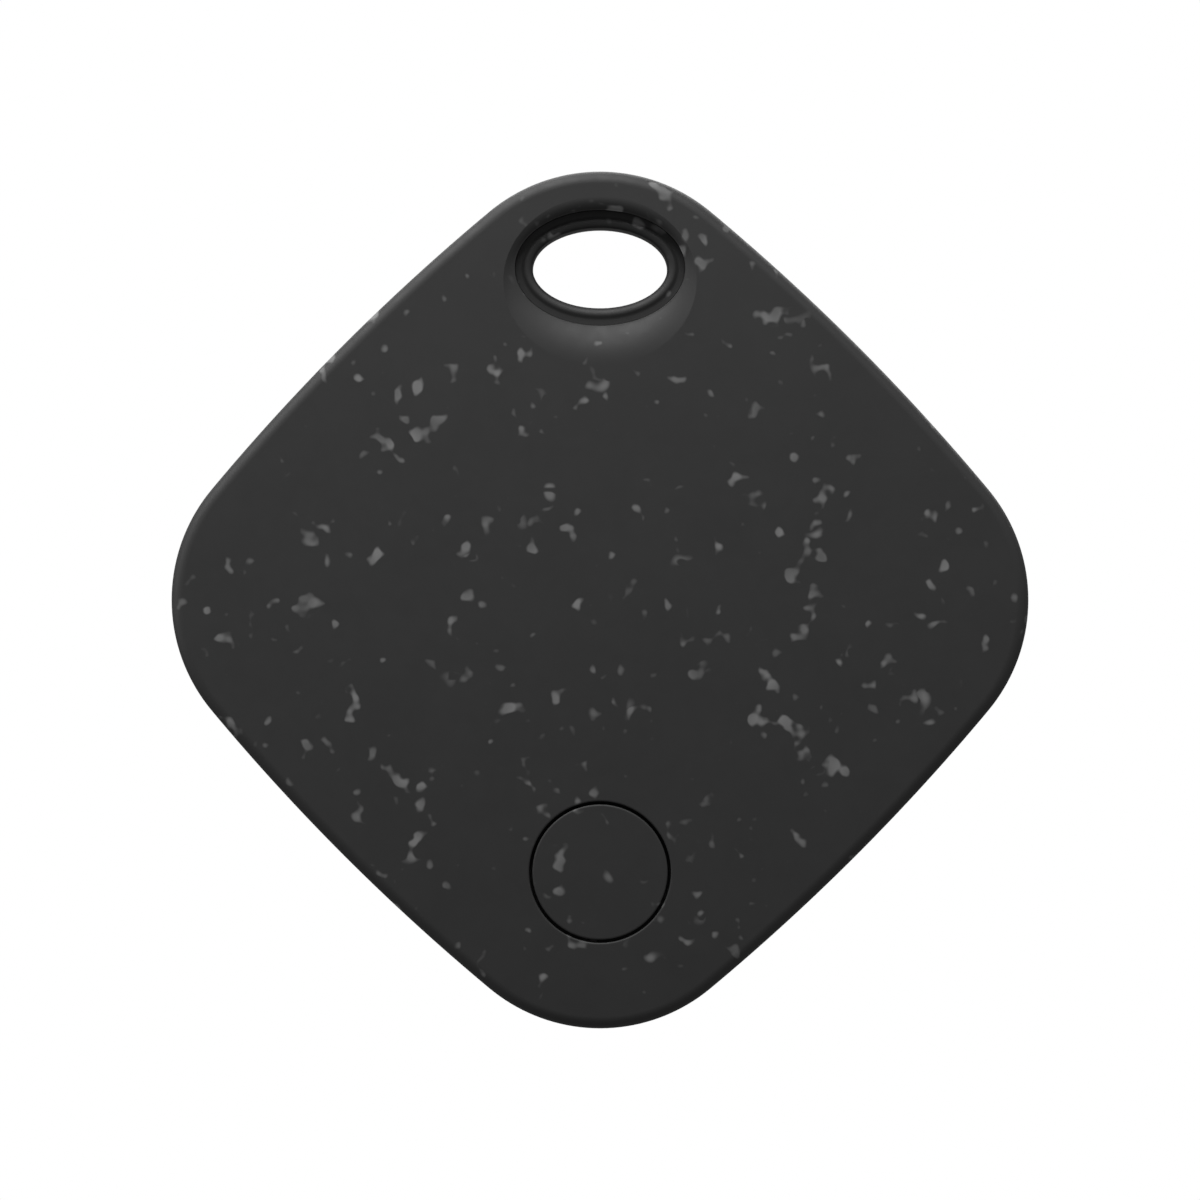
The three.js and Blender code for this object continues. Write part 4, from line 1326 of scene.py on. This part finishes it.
def softbox(name, place, width, height, power, aim):
    light = bpy.data.lights.new(name, "AREA")
    light.shape = "RECTANGLE"
    light.size = width
    light.size_y = height
    light.energy = power
    lamp = placed(name, light)
    lamp.location = place
    lamp.rotation_mode = "QUATERNION"
    lamp.rotation_quaternion = (Vector(aim) - Vector(place)).to_track_quat("-Z", "Y")


def world():
    """White behind the tag for the camera, and a dim grey room for everything else."""
    made = bpy.data.worlds.new("studio")
    bpy.context.scene.world = made
    made.use_nodes = True
    tree = made.node_tree
    backdrop = tree.nodes["Background"]
    room = tree.nodes.new("ShaderNodeBackground")
    for background, strength in ((backdrop, 1.0), (room, ROOM_STRENGTH)):
        background.inputs["Color"].default_value = (1, 1, 1, 1)
        background.inputs["Strength"].default_value = strength
    choice = tree.nodes.new("ShaderNodeMixShader")
    path = tree.nodes.new("ShaderNodeLightPath")
    tree.links.new(path.outputs["Is Camera Ray"], choice.inputs[0])
    tree.links.new(room.outputs[0], choice.inputs[1])
    tree.links.new(backdrop.outputs[0], choice.inputs[2])
    tree.links.new(choice.outputs[0], tree.nodes["World Output"].inputs["Surface"])


def lights():
    centre = (0, 0, MIDDLE_Z)
    softbox("top_light", (-0.16, -0.22, 0.55), 0.9, 0.5, 7.4, centre)
    softbox("right_light", (0.5, -0.25, 0.15), 0.5, 0.5, 0.35, centre)
    softbox("left_light", (-0.5, -0.10, 0.10), 0.4, 0.5, 0.8, centre)
    softbox("back_light", (0.05, 0.42, 0.38), 0.7, 0.4, 2.8, centre)


def camera():
    lens = bpy.data.cameras.new("camera")
    lens.lens = LENS
    lens.sensor_width = SENSOR
    made = placed("camera", lens)
    away = VIEW_WIDTH * LENS / SENSOR
    made.location = (0, -away, MIDDLE_Z)
    made.rotation_euler = (pi / 2, 0, 0)
    lens.clip_start = 0.01
    lens.clip_end = 10
    bpy.context.scene.camera = made


# ---- assembly ----


def build():
    shell = speckled_plastic()
    inner = moulded_plastic()
    epoxy = chip_epoxy()
    silicone = silicone_rubber()
    pad = foam()
    steel = brushed_metal("steel", (0.48, 0.49, 0.50, 1), 0.3)
    tin = brushed_metal("tin", (0.62, 0.62, 0.6, 1), 0.4)
    gold = brushed_metal("gold_plate", (0.72, 0.47, 0.15, 1), 0.28)
    brass = brushed_metal("brass_sheet", (0.55, 0.38, 0.13, 1), 0.32)
    white = fired_ceramic("white_ceramic", (0.7, 0.66, 0.54, 1), (0.6, 0.56, 0.45, 1))
    tan = fired_ceramic("capacitor_ceramic", (0.41, 0.28, 0.15, 1), (0.33, 0.22, 0.12, 1))
    ferrite = fired_ceramic("ferrite", grey(46), grey(58))
    filling = fired_ceramic("cell_filling", grey(52), grey(66))

    front_shell(shell)
    rear_shell(shell)
    button_cap(shell)
    battery_door(shell)
    shell_gasket(silicone)
    button_membrane(silicone)
    door_seal(silicone)
    flat_disc("door_pad", "door", pad, 0.05)

    battery_can(steel)
    battery_cap(steel)
    flat_disc("battery_gasket", "cell", inner, 0.1, hollow=8.7)
    flat_disc("battery_core", "cell", filling, 0.15)

    battery_tray(inner)
    main_board(solder_mask())
    board_pads(gold)
    for number in range(1, 5):
        board_screw(number, steel)
    contacts(gold)
    switch(epoxy, steel)

    chip("bluetooth_chip", epoxy, dot=0.25)
    chip("buzzer_driver", epoxy, dot=0.15)
    crystal("radio_crystal", steel, white)
    crystal("clock_crystal", white, ferrite)
    two_ended("chip_antenna", white, tin)
    two_ended("boost_inductor", ferrite, tin)
    for number in range(1, 7):
        two_ended(f"capacitor_{number}", tan, tin)

    flat_disc("buzzer_adhesive", "housing", pad, 0.03, hollow=6.1)
    flat_disc("buzzer_disc", "housing", brass, 0.03)
    flat_disc("buzzer_ceramic", "housing", white, 0.03)


build()
floor()
world()
lights()
camera()
bpy.context.scene.view_settings.view_transform = "Standard"
